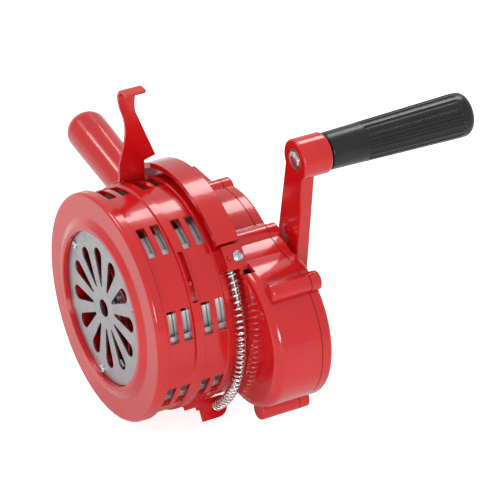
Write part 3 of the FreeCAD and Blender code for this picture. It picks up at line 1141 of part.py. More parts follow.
finish("arm_washer", tube("arm_washer", "arm_washer_radius", "crank_thread + seat", f"{arm_back} + seat",
                          f"{arm_back} + seat + arm_washer_thickness", "crank_x", "crank_z"))
finish("arm_nut", made("arm_nut", placed(hexagon(
    number("arm_nut_across"), number("arm_nut_height"), number("crank_thread + seat")), Placement(
    crank_centre + Vector(0, number(f"{arm_back} + arm_washer_thickness + seat * 2"), 0), ALONG_Y))))

# Turning grip and its spindle

hub_back = "arm_front + hub_length"
grip_start = f"{hub_back} + 0.6"
spindle = turned("spindle_turned", [
    ("0", "arm_front + spindle_nose"), ("spindle_radius", "arm_front + spindle_nose"),
    ("spindle_radius", f"{hub_back} + 0.3"), ("spindle_collar", f"{hub_back} + 0.3"),
    ("spindle_collar", f"{hub_back} + 2"), ("spindle_radius", f"{hub_back} + 2"),
    ("spindle_radius", f"{grip_start} + spindle_length"), ("0", f"{grip_start} + spindle_length")], x=hub_x, z=hub_z)
finish("grip_spindle", spindle)
grip = turned("grip_turned", [
    ("spindle_collar + seat", grip_start), ("grip_inner_radius", grip_start),
    ("grip_outer_radius", f"{grip_start} + grip_length - 7"), ("grip_outer_radius", f"{grip_start} + grip_length"),
    ("0", f"{grip_start} + grip_length"), ("0", f"{grip_start} + spindle_length + seat"),
    ("spindle_radius + seat", f"{grip_start} + spindle_length + seat"), ("spindle_radius + seat", f"{hub_back} + 2 + seat"),
    ("spindle_collar + seat", f"{hub_back} + 2 + seat")], [
    ("1", [("grip_inner_radius", grip_start)]),
    ("grip_round", [("grip_outer_radius", f"{grip_start} + grip_length")])], hub_x, hub_z)
taper = math.atan((number("grip_outer_radius") - number("grip_inner_radius")) / (number("grip_length") - 7))
flute_r, flute_long = number("flute_radius"), number("flute_length")
flute_from = number(grip_start) + number("grip_length") - 7 - number("flute_margin") - flute_long
surface = number("grip_inner_radius") + (flute_from - number(grip_start)) * math.tan(taper)
flute = Part.makeCylinder(flute_r, flute_long).fuse([Part.makeSphere(flute_r), Part.makeSphere(
    flute_r, Vector(0, 0, flute_long))])
flute_count = int(number("flute_count"))
flutes = []
for i in range(flute_count):
    angle = 360 * (i + 0.5) / flute_count
    way = around(math.sin(taper), angle) + Vector(0, math.cos(taper), 0)
    out = around(surface + flute_r - number("flute_depth"), angle, flute_from)
    flutes.append(placed(flute, facing(hub_centre + out, way)))
finish("grip", cut("grip", grip, [made("flutes", Part.makeCompound(flutes))]))
finish("spindle_washer", tube("spindle_washer", "rim_washer_radius", "dome_radius + 0.3",
                              "arm_front + counterbore_depth - rim_washer_thickness - seat",
                              "arm_front + counterbore_depth - seat", hub_x, hub_z))
finish("spindle_nut", turned("spindle_nut", [
    ("0", "arm_front - dome_height"), ("dome_radius * 0.55", "arm_front - dome_height"),
    ("dome_radius * 0.85", "arm_front - dome_height * 0.7"), ("dome_radius", "arm_front - dome_height * 0.2"),
    ("dome_radius", "arm_front + counterbore_depth - seat"),
    ("spindle_radius + seat", "arm_front + counterbore_depth - seat"),
    ("spindle_radius + seat", "arm_front + spindle_nose - seat"), ("0", "arm_front + spindle_nose - seat")],
    x=hub_x, z=hub_z))

# Side handle

handle_length = number("handle_length")
handle_profile = new_body("handle_turned")
revolve(handle_profile, "handle_turn", [
    ("0", "-8"), ("handle_base", "-8"), ("handle_base", "0"), ("handle_end", "handle_length * 0.8"),
    ("handle_end", "handle_length"), ("0", "handle_length")])
round_corners(handle_profile, "handle_tip", "handle_round", [("handle_end", "handle_length")])
handle_profile.Placement = Placement(handle_foot, Rotation(Vector(0, 1, 0), handle_way))
stud_room = fresh("Part::Cylinder", "stud_room")
tie(stud_room, "Radius", "stud_radius + seat")
tie(stud_room, "Height", "stud_in_handle + 10.5")
stud_room.Placement = facing(handle_foot - handle_way * 10, handle_way)
finish("side_handle", cut("side_handle", handle_profile, [
    box("handle_base_cut", "block_left - seat", "block_left + 20", "handle_y - 30", "handle_y + 30",
        "handle_z - 30", "handle_z + 30"), stud_room]))
stud = fresh("Part::Cylinder", "handle_stud")
tie(stud, "Radius", "stud_radius")
tie(stud, "Height", "stud_in_block + stud_in_handle")
stud.Placement = facing(handle_foot - handle_way * number("stud_in_block"), handle_way)
finish("handle_stud", stud)

# Spring bracket, its screw and the curved rod inside the spring

seat_angle, pad_start = number("spring_top_angle"), number("spring_top_angle + 1.4")
bracket_low, bracket_high = number("bracket_radius + seat"), number("bracket_radius + seat + bracket_plate")
tab = ring_segment(bracket_low, bracket_high, seat_angle, number("bracket_top_angle"), number("bracket_front"),
                   number("bracket_back"))
lip = ring_segment(number("seat_foot"), bracket_high, seat_angle, pad_start - 0.05, number("seat_front"),
                   number("seat_back"))
rod_radius = number("rod_radius")
lip_middle = (seat_angle + pad_start) / 2
rod_way = around(1, lip_middle - 90)
rod_hole = placed(Part.makeCylinder(rod_radius + number("seat"), 8), facing(
    around(number("spring_top_radius"), lip_middle, number("spring_y")) - rod_way * 4, rod_way))
bracket = tab.fuse(lip).removeSplitter().cut(rod_hole)
bracket_screw_angle = number("bracket_screw_angle")
for radius, y in ((number("cover_shank + hole_clearance"), number("bracket_screw_y")),
                  (number("peg_radius + hole_clearance"), number("peg_y"))):
    bracket = bracket.cut(placed(Part.makeCylinder(radius, 10), facing(
        around(bracket_low - 4, bracket_screw_angle, y), around(1, bracket_screw_angle))))
finish("spring_bracket", made("spring_bracket", bracket))
bracket_screw = pan_screw(number("cover_head") * 0.9, number("cover_head_height"), number("cover_shank"),
                          number("bracket_screw_length"))
finish("bracket_screw", made("bracket_screw", placed(bracket_screw, facing(
    around(bracket_high, bracket_screw_angle, number("bracket_screw_y")), around(1, bracket_screw_angle)))))


def route_radius(angle):
    """Distance of the spring's centre line from the rotor's axis."""
    spots = [(number(f"spring_{p}_angle"), number(f"spring_{p}_radius")) for p in ("top", "waist", "low")]
    total = 0.0
    for i, (a, r) in enumerate(spots):
        weight = r
        for j, (b, _) in enumerate(spots):
            if i != j:
                weight *= (angle - b) / (a - b)
        total += weight
    return total


def route_point(angle):
    """Point of the spring's centre line."""
    return around(route_radius(angle), angle, number("spring_y"))


def route_frame(angle):
    """Point of the centre line with the way along it, downwards, and the way off it, outwards."""
    step = 0.01
    point = route_point(angle)
    way = route_point(angle - step) - route_point(angle + step)
    way.normalize()
    outward = around(1, angle)
    outward = outward - way * outward.dot(way)
    outward.normalize()
    return point, way, outward


top, low = number("spring_top_angle"), number("spring_low_angle")
wire, coil = number("wire_radius"), number("spring_radius")
samples = 400
lengths = [0.0]
for i in range(samples):
    a, b = (top + (low - top) * (i + k) / samples for k in (0, 1))
    lengths.append(lengths[-1] + (route_point(b) - route_point(a)).Length)
whole = lengths[-1]
free = whole - 2 * wire - 2 * 0.05
turns = number("spring_turns")
closed = number("closed_pitch")


def angle_at(distance):
    """Angle of the centre line at a distance from its top."""
    i = min(samples - 1, max(0, sum(1 for s in lengths if s <= distance) - 1))
    part = (distance - lengths[i]) / (lengths[i + 1] - lengths[i])
    return top + (low - top) * (i + part) / samples


def advance(turn):
    """Distance along the centre line after some turns: close turns at both ends, open ones between."""
    open_pitch = (free - 2 * closed) / (turns - 2)
    if turn <= 1:
        return closed * turn
    if turn >= turns - 1:
        return free - closed * (turns - turn)
    return closed + open_pitch * (turn - 1)


def coil_point(turn):
    """Point of the wire's centre line after some turns."""
    point, way, outward = route_frame(angle_at(wire + 0.05 + advance(turn)))
    side = way.cross(outward)
    a = 2 * math.pi * turn
    return point + outward * (coil * math.cos(a)) + side * (coil * math.sin(a))


def coil_way(turn):
    """Direction of the wire after some turns."""
    step = 1e-4
    way = coil_point(min(turns, turn + step)) - coil_point(max(0, turn - step))
    way.normalize()
    return way


def arc_from(start, way, end):
    """Arc that leaves a point in a direction and ends at another."""
    chord = end - start
    across = way - chord * (way.dot(chord) / chord.dot(chord))
    across.normalize()
    half = way.getAngle(chord)
    return Part.Arc(start, (start + end) * 0.5 + across * (chord.Length / 2 * math.tan(half / 2)), end).toShape()


def biarc(p, way_p, q, way_q):
    """Two arcs that join two points with the given directions."""
    v, t = q - p, way_p + way_q
    inner = 2 * (1 - way_p.dot(way_q))
    d = (-v.dot(t) + math.sqrt(v.dot(t) ** 2 + inner * v.dot(v))) / inner
    middle = (p + q + (way_p - way_q) * d) * 0.5
    joint_way = (q - way_q * d) - (p + way_p * d)
    joint_way.normalize()
    return [arc_from(p, way_p, middle), arc_from(middle, joint_way, q)]


quarters = int(turns * 4)
coil_edges = []
for i in range(quarters):
    a, b = i / 4, (i + 1) / 4
    coil_edges += biarc(coil_point(a), coil_way(a), coil_point(b), coil_way(b))
path = Part.Wire(coil_edges)
start_circle = Part.Wire(Part.makeCircle(wire, coil_point(0), coil_way(0)))
spring_shape = path.makePipeShell([start_circle], True, False)
if not spring_shape.isValid() or len(spring_shape.Solids) != 1:
    raise RuntimeError("return_spring: the tube isn't one sound solid")
probe_step = 1 / 24
coil_points = [coil_point(i * probe_step) for i in range(int(turns / probe_step) + 1)]
least = min((p - q).Length for i, p in enumerate(coil_points) for q in coil_points[i + 12:])
print("return_spring least gap to itself, mm:", round(least - 2 * wire, 3))
print("return_spring length, mm:", round(whole, 2), "turns:", turns)
finish("return_spring", made("return_spring", spring_shape))

rod_edges = []
rod_end = number("spring_top_angle - rod_span")
rod_start = pad_start - 0.4
rod_path = Part.Wire([Part.Arc(around(route_radius(top), rod_start, number("spring_y")),
                               around(route_radius(top), (rod_start + rod_end) / 2, number("spring_y")),
                               around(route_radius(top), rod_end, number("spring_y"))).toShape()])
rod = rod_path.makePipeShell([Part.Wire(Part.makeCircle(
    rod_radius, around(route_radius(top), rod_start, number("spring_y")), around(1, rod_start - 90)))], True, False)
finish("spring_rod", made("spring_rod", rod))

# Bodies' joints pass through these axes, in the record's frame
for joint_name, point in (("rotor", Vector()), ("idler", idler_centre), ("crank", crank_centre), ("grip", hub_centre)):
    print("axis", joint_name, [round(v / 1000, 7) for v in (point.x, point.y, point.z)])

doc.recompute()
os.makedirs("parts", exist_ok=True)
for thing in doc.Objects:
    if {"Invalid", "Error"} & set(thing.State):
        raise RuntimeError(f"{thing.Name} is {thing.State}")
for node, thing in nodes.items():
    if thing.Shape.isNull() or not thing.Shape.isValid():
        raise RuntimeError(f"{node} has no sound shape")
for node, thing in nodes.items():
    thing.Shape.exportStep(f"parts/{node}.step")
print(len(nodes), "pieces")
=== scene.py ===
"""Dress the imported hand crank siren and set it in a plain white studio.

Lengths are in metres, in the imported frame: the rotor's axis runs along Y, the grille faces -Y and +Z is up.
The CAD nodes keep their own shapes and get finishes. The one piece made here is the return spring's coil.
"""
from __future__ import annotations

import bisect
import logging
import math
from abc import ABC, abstractmethod
from dataclasses import dataclass

import bmesh
import bpy
from mathutils import Matrix, Vector


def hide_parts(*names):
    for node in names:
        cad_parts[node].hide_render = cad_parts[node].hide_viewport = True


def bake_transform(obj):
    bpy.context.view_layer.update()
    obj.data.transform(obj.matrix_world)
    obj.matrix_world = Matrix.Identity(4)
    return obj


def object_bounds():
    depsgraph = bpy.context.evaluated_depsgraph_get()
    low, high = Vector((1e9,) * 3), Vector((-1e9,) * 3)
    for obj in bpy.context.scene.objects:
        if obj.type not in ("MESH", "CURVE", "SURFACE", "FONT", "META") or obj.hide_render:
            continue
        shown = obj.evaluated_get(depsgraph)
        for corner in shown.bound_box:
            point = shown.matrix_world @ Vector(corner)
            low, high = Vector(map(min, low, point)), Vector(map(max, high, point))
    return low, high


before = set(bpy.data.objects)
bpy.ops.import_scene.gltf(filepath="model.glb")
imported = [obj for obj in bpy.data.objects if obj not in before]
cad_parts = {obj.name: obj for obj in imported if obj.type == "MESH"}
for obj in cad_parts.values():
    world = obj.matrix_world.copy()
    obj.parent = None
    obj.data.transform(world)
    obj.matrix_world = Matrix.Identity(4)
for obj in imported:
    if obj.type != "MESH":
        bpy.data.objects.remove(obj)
cad_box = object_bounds()

log = logging.getLogger("siren")
MM = 0.001
WHITE = "FFFFFF"
# Socket numbers of a Mix node that mixes colours
MIX_DARK, MIX_LIGHT, MIX_RESULT = 6, 7, 2
# Nearly all of a noise's values lie between these
NOISE_LOW, NOISE_HIGH = 0.3, 0.7
NOISE_ROUGHNESS = 0.55
BEVEL_SAMPLES = 4
# Blotches that are as long each way
EVEN = (1.0, 1.0, 1.0)
# Drops a place's Y, so that the length left is its distance from the rotor's axis
ACROSS_AXIS = (1.0, 0.0, 1.0)


# Colours and nodes


def linear(hex_colour: str) -> tuple[float, float, float, float]:
    """Turn an sRGB hex colour into linear RGBA, with the numbers of the sRGB curve.

    Args:
        hex_colour: six hex digits.

    Returns:
        The linear colour with full alpha.
    """
    parts = [int(hex_colour[i:i + 2], 16) / 255 for i in (0, 2, 4)]
    red, green, blue = (c / 12.92 if c <= 0.04045 else ((c + 0.055) / 1.055) ** 2.4 for c in parts)
    return red, green, blue, 1.0


def add(tree: bpy.types.NodeTree, kind: str, inputs: dict[str | int, object] | None = None,
        **settings: object) -> bpy.types.Node:
    """Add a node, set its properties, and set or link its inputs.

    Args:
        tree: node tree that gets the node.
        kind: node type's identifier.
        inputs: input name or number to a value, or to the socket that feeds it.
        **settings: properties of the node.

    Returns:
        The new node.
    """
    node = tree.nodes.new(kind)
    for name, value in settings.items():
        setattr(node, name, value)
    for name, value in (inputs or {}).items():
        if isinstance(value, bpy.types.NodeSocket):
            tree.links.new(value, node.inputs[name])
        else:
            node.inputs[name].default_value = value
    return node


def new_material(name: str) -> tuple[bpy.types.Material, bpy.types.NodeTree]:
    """Make an empty node material.

    Args:
        name: material's name.

    Returns:
        The material and its node tree.
    """
    material = bpy.data.materials.new(name)
    material.use_nodes = True
    tree = material.node_tree
    tree.nodes.clear()
    return material, tree


@dataclass(frozen=True)
class Grain:
    """Noise over a surface, with blotches of a real size and how much longer they are along each axis."""

    size_mm: float
    detail: float = 2.0
    stretch: tuple[float, float, float] = EVEN

    def noise(self, tree: bpy.types.NodeTree) -> bpy.types.NodeSocket:
        """Add the noise.

        Args:
            tree: node tree of the material.

        Returns:
            The noise's value.
        """
        coords = add(tree, "ShaderNodeTexCoord")
        scale = tuple(1 / longer for longer in self.stretch)
        mapped = add(tree, "ShaderNodeMapping", {"Vector": coords.outputs["Object"], "Scale": scale})
        noise = add(tree, "ShaderNodeTexNoise", {
            "Vector": mapped.outputs["Vector"], "Scale": 1 / (self.size_mm * MM),
            "Detail": self.detail, "Roughness": NOISE_ROUGHNESS})
        return noise.outputs["Fac"]

    def between(self, tree: bpy.types.NodeTree, low: float, high: float) -> bpy.types.NodeSocket:
        """Add the noise, stretched between two numbers.

        Args:
            tree: node tree of the material.
            low: result at the noise's low end.
            high: result at the noise's high end.

        Returns:
            The stretched value.
        """
        mapped = add(tree, "ShaderNodeMapRange", {
            "Value": self.noise(tree), "From Min": NOISE_LOW, "From Max": NOISE_HIGH,
            "To Min": low, "To Max": high})
        return mapped.outputs["Result"]

    def tint(self, tree: bpy.types.NodeTree, dark: str, light: str) -> bpy.types.NodeSocket:
        """Add a colour that wanders between two others with the noise.

        Args:
            tree: node tree of the material.
            dark: hex colour at the low end.
            light: hex colour at the high end.

        Returns:
            The blended colour.
        """
        share = self.between(tree, 0.0, 1.0)
        mixed = add(tree, "ShaderNodeMix", {
            0: share, MIX_DARK: linear(dark), MIX_LIGHT: linear(light)}, data_type="RGBA")
        return mixed.outputs[MIX_RESULT]

    def relief(self, tree: bpy.types.NodeTree, depth_mm: float, edge_mm: float) -> bpy.types.NodeSocket:
        """Add a normal that the noise bumps, over edges that are broken by a small radius.

        Args:
            tree: node tree of the material.
            depth_mm: real depth of the relief.
            edge_mm: radius that sharp edges are shaded with.

        Returns:
            The normal.
        """
        edge = add(tree, "ShaderNodeBevel", {"Radius": edge_mm * MM}, samples=BEVEL_SAMPLES)
        bump = add(tree, "ShaderNodeBump", {
            "Height": self.noise(tree), "Distance": depth_mm * MM, "Strength": 1.0,
            "Normal": edge.outputs["Normal"]})
        return bump.outputs["Normal"]


# Finishes


class Finish(ABC):
    """Finish of a surface, which makes one material."""

    name: str

    @abstractmethod
    def shader(self, tree: bpy.types.NodeTree) -> bpy.types.NodeSocket:
        """Build the finish's shader.

        Args:
            tree: node tree of the material.

        Returns:
            The shader.
        """

    def build(self) -> bpy.types.Material:
        """Make the material.

        Returns:
            The material, named for the finish.
        """
        material, tree = new_material(self.name)
        add(tree, "ShaderNodeOutputMaterial", {"Surface": self.shader(tree)})
        return material


@dataclass(frozen=True)
class PowderCoat(Finish):
    """Gloss red powder coat baked on metal, with its darkest and lightest colour and roughness.

    The melted powder leaves a faint orange peel, which breaks up the edges of each reflection.
    """

    name: str = "powder_coated_die_casting_red"
    colours: tuple[str, str] = ("BE0A0E", "C90F13")
    roughness: tuple[float, float] = (0.13, 0.20)
    tones: Grain = Grain(34.0)
    gloss: Grain = Grain(11.0)
    peel: Grain = Grain(3.4, detail=1.5)
    peel_depth_mm: float = 0.009
    edge_mm: float = 0.45
    coat: float = 0.35
    coat_roughness: float = 0.03

    def shader(self, tree: bpy.types.NodeTree) -> bpy.types.NodeSocket:
        """Build the coat's shader.

        Args:
            tree: node tree of the material.

        Returns:
            The shader.
        """
        surface = add(tree, "ShaderNodeBsdfPrincipled", {
            "Base Color": self.tones.tint(tree, *self.colours),
            "Roughness": self.gloss.between(tree, *self.roughness),
            "Coat Weight": self.coat, "Coat Roughness": self.coat_roughness,
            "Normal": self.peel.relief(tree, self.peel_depth_mm, self.edge_mm)})
        return surface.outputs["BSDF"]


@dataclass(frozen=True)
class WorkedMetal(Finish):
    """Bare or plated metal with the marks that its last cut, rolling or bath left.

    The real marks are finer than the render can show, so each finish draws them as coarse as they need to
    be. The metal's tone wanders over several marks.
    """

    name: str
    colours: tuple[str, str]
    roughness: tuple[float, float]
    mark_mm: float
    stretch: tuple[float, float, float] = EVEN
    mark_depth_mm: float = 0.004
    edge_mm: float = 0.15
    detail: float = 3.0
    marks_per_tone: float = 6.0

    def shader(self, tree: bpy.types.NodeTree) -> bpy.types.NodeSocket:
        """Build the metal's shader.

        Args:
            tree: node tree of the material.

        Returns:
            The shader.
        """
        marks = Grain(self.mark_mm, self.detail, self.stretch)
        tones = Grain(self.mark_mm * self.marks_per_tone, self.detail, self.stretch)
        surface = add(tree, "ShaderNodeBsdfPrincipled", {
            "Base Color": tones.tint(tree, *self.colours),
            "Metallic": 1.0,
            "Roughness": marks.between(tree, *self.roughness),
            "Normal": marks.relief(tree, self.mark_depth_mm, self.edge_mm)})
        return surface.outputs["BSDF"]


@dataclass(frozen=True)
class TurnedRotor(Finish):
    """Red coat inside the rotor, turned off to bare aluminium on the outside that the drum closes round."""

    coat: PowderCoat
    metal: WorkedMetal
    bare_radius_mm: float = 65.9
    name: str = "powder_coated_rotor_turned_outside"

    def shader(self, tree: bpy.types.NodeTree) -> bpy.types.NodeSocket:
        """Build the rotor's shader, which is bare past a distance from the axis.

        Args:
            tree: node tree of the material.

        Returns:
            The shader.
        """
        coords = add(tree, "ShaderNodeTexCoord")
        across = add(tree, "ShaderNodeVectorMath", {0: coords.outputs["Object"], 1: ACROSS_AXIS},
                     operation="MULTIPLY")
        radius = add(tree, "ShaderNodeVectorMath", {0: across.outputs["Vector"]}, operation="LENGTH")
        bare = add(tree, "ShaderNodeMath", {0: radius.outputs["Value"], 1: self.bare_radius_mm * MM},
                   operation="GREATER_THAN")
        mixed = add(tree, "ShaderNodeMixShader", {
            0: bare.outputs["Value"], 1: self.coat.shader(tree), 2: self.metal.shader(tree)})
        return mixed.outputs["Shader"]


@dataclass(frozen=True)
class BandedDrum(Finish):
    """Bare turned drum that keeps its red coat on the band between the middle rows of windows."""

    coat: PowderCoat
    metal: WorkedMetal
    band_from_mm: float = 21.4
    band_to_mm: float = 28.9
    name: str = "turned_drum_with_coated_band"

    def shader(self, tree: bpy.types.NodeTree) -> bpy.types.NodeSocket:
        """Build the drum's shader, which is coated along a stretch of the axis.

        Args:
            tree: node tree of the material.

        Returns:
            The shader.
        """
        coords = add(tree, "ShaderNodeTexCoord")
        along = add(tree, "ShaderNodeSeparateXYZ", {"Vector": coords.outputs["Object"]})
        middle = (self.band_from_mm + self.band_to_mm) / 2 * MM
        half_width = (self.band_to_mm - self.band_from_mm) / 2 * MM
        band = add(tree, "ShaderNodeMath", {0: along.outputs["Y"], 1: middle, 2: half_width},
                   operation="COMPARE")
        mixed = add(tree, "ShaderNodeMixShader", {
            0: band.outputs["Value"], 1: self.metal.shader(tree), 2: self.coat.shader(tree)})
        return mixed.outputs["Shader"]


@dataclass(frozen=True)
class Moulding(Finish):
    """Plastic, rubber or paper with a fine grain from its mould or its making."""

    name: str
    colours: tuple[str, str]
    roughness: tuple[float, float]
    grain: Grain = Grain(0.9)
    grain_depth_mm: float = 0.006
    edge_mm: float = 0.3
    tones: Grain = Grain(14.0)
    gloss: Grain = Grain(6.0)

    def shader(self, tree: bpy.types.NodeTree) -> bpy.types.NodeSocket:
        """Build the moulding's shader.

        Args:
            tree: node tree of the material.

        Returns:
            The shader.
        """
        surface = add(tree, "ShaderNodeBsdfPrincipled", {
            "Base Color": self.tones.tint(tree, *self.colours),
            "Roughness": self.gloss.between(tree, *self.roughness),
            "Normal": self.grain.relief(tree, self.grain_depth_mm, self.edge_mm)})
        return surface.outputs["BSDF"]


class FinishSet:
    """All the finishes of the siren, and the CAD nodes that wear each one."""

    def __init__(self) -> None:
        """Describe the finishes."""
        coat = PowderCoat()
        # On thin sheet the coat ripples closer together, and the edges stay sharper
        sheet = PowderCoat("powder_coated_steel_sheet_red", peel=Grain(2.0, detail=1.5), peel_depth_mm=0.010,
                           edge_mm=0.3)
        # Turning leaves fine rings round the axis, which spread each highlight along it
        rings = (7.0, 0.35, 7.0)
        turned = WorkedMetal("turned_aluminium", ("BDBDBE", "D8D8D9"), (0.28, 0.42), 0.5, rings)
        # The drum is turned the same way, and looks a little duller
        drum = WorkedMetal("turned_aluminium_drum", ("B2B2B4", "CFCFD0"), (0.30, 0.46), 0.5, rings)
        # Cold rolling leaves stainless sheet an even grey satin
        stainless = WorkedMetal("rolled_stainless_sheet", ("A2A2A4", "B2B2B4"), (0.30, 0.40), 0.6,
                                (2.0, 1.0, 2.0), mark_depth_mm=0.002)
        # Bright zinc gives pressed steel a cool, faintly clouded shine
        zinc = WorkedMetal("zinc_plated_steel_pressed", ("BCC3C9", "DCE0E4"), (0.16, 0.28), 0.8)
        # Nickel on drawn wire is close to a mirror, so each turn carries a thin bright line
        nickel = WorkedMetal("nickel_plated_spring_wire", ("D6D6D8", "F0F0F2"), (0.08, 0.16), 0.6)
        # Turned steel with no plating is darker, with fine rings round each shaft
        steel = WorkedMetal("turned_carbon_steel", ("8E8E90", "A9A9AC"), (0.24, 0.38), 0.5, (3.0, 0.5, 3.0))
        # Pressed bronze powder full of oil looks brown and dull
        bronze = WorkedMetal("sintered_bronze_oiled", ("8A6A3A", "A9854E"), (0.34, 0.50), 0.5)
        # The yellow bath over the zinc leaves a pale straw colour
        straw = WorkedMetal("yellow_zinc_plated_steel", ("A39A78", "CFC59C"), (0.22, 0.36), 0.9)
        # A smooth mould gives black phenolic a soft sheen along its ridges
        phenolic = Moulding("phenolic_moulded_black", ("0A0A0C", "131315"), (0.24, 0.32))
        # Moulded rubber scatters the light, so it looks matt
        rubber = Moulding("nitrile_rubber_moulded", ("0E0E0E", "181818"), (0.55, 0.70))
        # Oil darkens the paper, and its fibres keep it matt
        paper = Moulding("gasket_paper_oiled", ("2A2522", "3A332E"), (0.70, 0.85), Grain(1.5),
                         grain_depth_mm=0.02)
        self.wearers: list[tuple[Finish, tuple[str, ...]]] = [
            (coat, ("front_cap", "gear_housing", "gear_cover", "side_handle", "crank_arm", "guide_pins")),
            (sheet, (
                "shutter_ring", "finger_lever", "lever_rivets", "spring_lug", "lug_rivets",
                "spring_bracket")),
            (TurnedRotor(coat, turned), ("rotor",)),
            (BandedDrum(coat, drum), ("stator_drum",)),
            (stainless, ("grille_plate",)),
            (zinc, (
                "grille_screws", "cap_lock_screw", "drum_screws", "cover_screws", "bracket_screw",
                "rotor_nut", "rotor_washer", "arm_nut", "arm_washer", "spindle_nut")),
            (nickel, ("return_spring",)),
            (steel, (
                "bearing_outer_races", "bearing_balls", "bearing_inner_races", "idler_axle",
                "handle_stud", "spring_rod", "rotor_shaft", "rotor_pinion", "idler_pinion",
                "idler_gear", "crank_gear", "crank_shaft", "crank_key", "retaining_ring",
                "grip_spindle")),
            (bronze, ("crank_bushes", "hub_bush")),
            (straw, ("spindle_washer",)),
            (phenolic, ("grip",)),
            (rubber, ("shaft_seal",)),
            (paper, ("cover_gasket",)),
        ]

    def apply(self) -> dict[str, bpy.types.Material]:
        """Build each finish and give it to its nodes.

        Returns:
            Each node's material by the node's name.
        """
        worn = {}
        for finish, nodes in self.wearers:
            material = finish.build()
            for name in nodes:
                dress(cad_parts[name], material)
                worn[name] = material
            log.info("%s: %s", material.name, ", ".join(nodes))
        return worn


def dress(piece: bpy.types.Object, material: bpy.types.Material) -> None:
    """Give a piece one material.

    Args:
        piece: object to dress.
        material: its finish.
    """
    if not piece.material_slots:
        piece.data.materials.append(material)
    for slot in piece.material_slots:
        slot.material = material


# Return spring


@dataclass(frozen=True)
class ReturnSpring:
    """Coil spring from the bracket round to the ring's lug, on the line that its CAD solid follows.

    On the real siren its top is held by the housing and its foot turns with the shutter. Each place on
    the line is an angle in degrees about the rotor's axis and a radius in millimetres.
    """

    top: tuple[float, float] = (34.6, 77.0)
    waist: tuple[float, float] = (-10.0, 76.9)
    foot: tuple[float, float] = (-57.0, 79.6)
    line_y_mm: float = 52.15
    turns: int = 31
    coil_radius_mm: float = 3.0
    wire_radius_mm: float = 0.6
    closed_pitch_mm: float = 1.75
    end_gap_mm: float = 0.05
    steps_per_turn: int = 28
    wire_sides: int = 12
    line_samples: int = 400
    slope_step_deg: float = 0.01

    def line_point(self, angle: float) -> Vector:
        """Find a point of the centre line, whose radius follows a parabola through the three places.

        Args:
            angle: degrees about the rotor's axis.

        Returns:
            The point in millimetres.
        """
        places = (self.top, self.waist, self.foot)
        radius = 0.0
        for here, share in places:
            for other, _ in places:
                if other != here:
                    share *= (angle - other) / (here - other)
            radius += share
        turned = math.radians(angle)
        return Vector((radius * math.cos(turned), self.line_y_mm, radius * math.sin(turned)))

    def line_frame(self, angle: float) -> tuple[Vector, Vector, Vector]:
        """Find a point of the centre line, the way off it and the way beside it.

        Args:
            angle: degrees about the rotor's axis.

        Returns:
            The point, and two directions square to the line.
        """
        step = self.slope_step_deg
        way = (self.line_point(angle - step) - self.line_point(angle + step)).normalized()
        turned = math.radians(angle)
        outward = Vector((math.cos(turned), 0.0, math.sin(turned)))
        outward = (outward - way * outward.dot(way)).normalized()
        return self.line_point(angle), outward, way.cross(outward)

    def wire_line(self) -> list[tuple[Vector, Vector]]:
        """Wind the wire round the centre line, with one closed turn at each end.

        Returns:
            Points of the wire's middle, each with the way off the spring's own axis.
        """
        first, last = self.top[0], self.foot[0]
        angles = [first + (last - first) * i / self.line_samples for i in range(self.line_samples + 1)]
        line = [self.line_point(angle) for angle in angles]
        lengths = [0.0]
        for near, far in zip(line, line[1:]):
            lengths.append(lengths[-1] + (far - near).length)
        inset = self.wire_radius_mm + self.end_gap_mm
        open_turns = self.turns - 2
        open_pitch = (lengths[-1] - 2 * inset - 2 * self.closed_pitch_mm) / open_turns
        wire = []
        for step in range(self.turns * self.steps_per_turn + 1):
            turn = step / self.steps_per_turn
            closed = min(turn, 1.0) + max(turn - self.turns + 1, 0.0)
            opened = min(max(turn - 1, 0.0), open_turns)
            travelled = inset + self.closed_pitch_mm * closed + open_pitch * opened
            span = min(bisect.bisect_right(lengths, travelled), self.line_samples) - 1
            part = (travelled - lengths[span]) / (lengths[span + 1] - lengths[span])
            angle = angles[span] + (angles[span + 1] - angles[span]) * part
            point, outward, beside = self.line_frame(angle)
            phase = 2 * math.pi * turn
            off = outward * math.cos(phase) + beside * math.sin(phase)
            wire.append((point + off * self.coil_radius_mm, off))
        return wire

    def wire_mesh(self) -> bpy.types.Mesh:
        """Sweep the wire's round section along its line.

        Returns:
            The closed mesh in metres.
        """
        wire = self.wire_line()
        build = bmesh.new()
        rings = []
        for place, (middle, off) in enumerate(wire):
            way = (wire[min(place + 1, len(wire) - 1)][0] - wire[max(place - 1, 0)][0]).normalized()
            across = (off - way * off.dot(way)).normalized()
            beside = way.cross(across)
            ring = []
            for side in range(self.wire_sides):
                turned = 2 * math.pi * side / self.wire_sides
                rim = (across * math.cos(turned) + beside * math.sin(turned)) * self.wire_radius_mm
                ring.append(build.verts.new((middle + rim) * MM))
            rings.append(ring)
        for near, far in zip(rings, rings[1:]):
            for side in range(self.wire_sides):
                after = (side + 1) % self.wire_sides
                build.faces.new((near[side], near[after], far[after], far[side])).smooth = True
        build.faces.new(rings[0][::-1])
        build.faces.new(rings[-1])
        bmesh.ops.recalc_face_normals(build, faces=build.faces)
        mesh = bpy.data.meshes.new("coil_spring")
        build.to_mesh(mesh)
        build.free()
        return mesh

    def build(self, material: bpy.types.Material) -> None:
        """Make the coil where the CAD spring lies, and hide the CAD spring.

        Args:
            material: finish of its wire.
        """
        coil = bpy.data.objects.new("coil_spring", self.wire_mesh())
        bpy.context.scene.collection.objects.link(coil)
        dress(coil, material)
        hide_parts("return_spring")
        ends = [tuple(self.line_point(angle) * MM) for angle in (self.top[0], self.foot[0])]
        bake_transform(coil)
        log.info("coil_spring: %d turns", self.turns)


# Studio


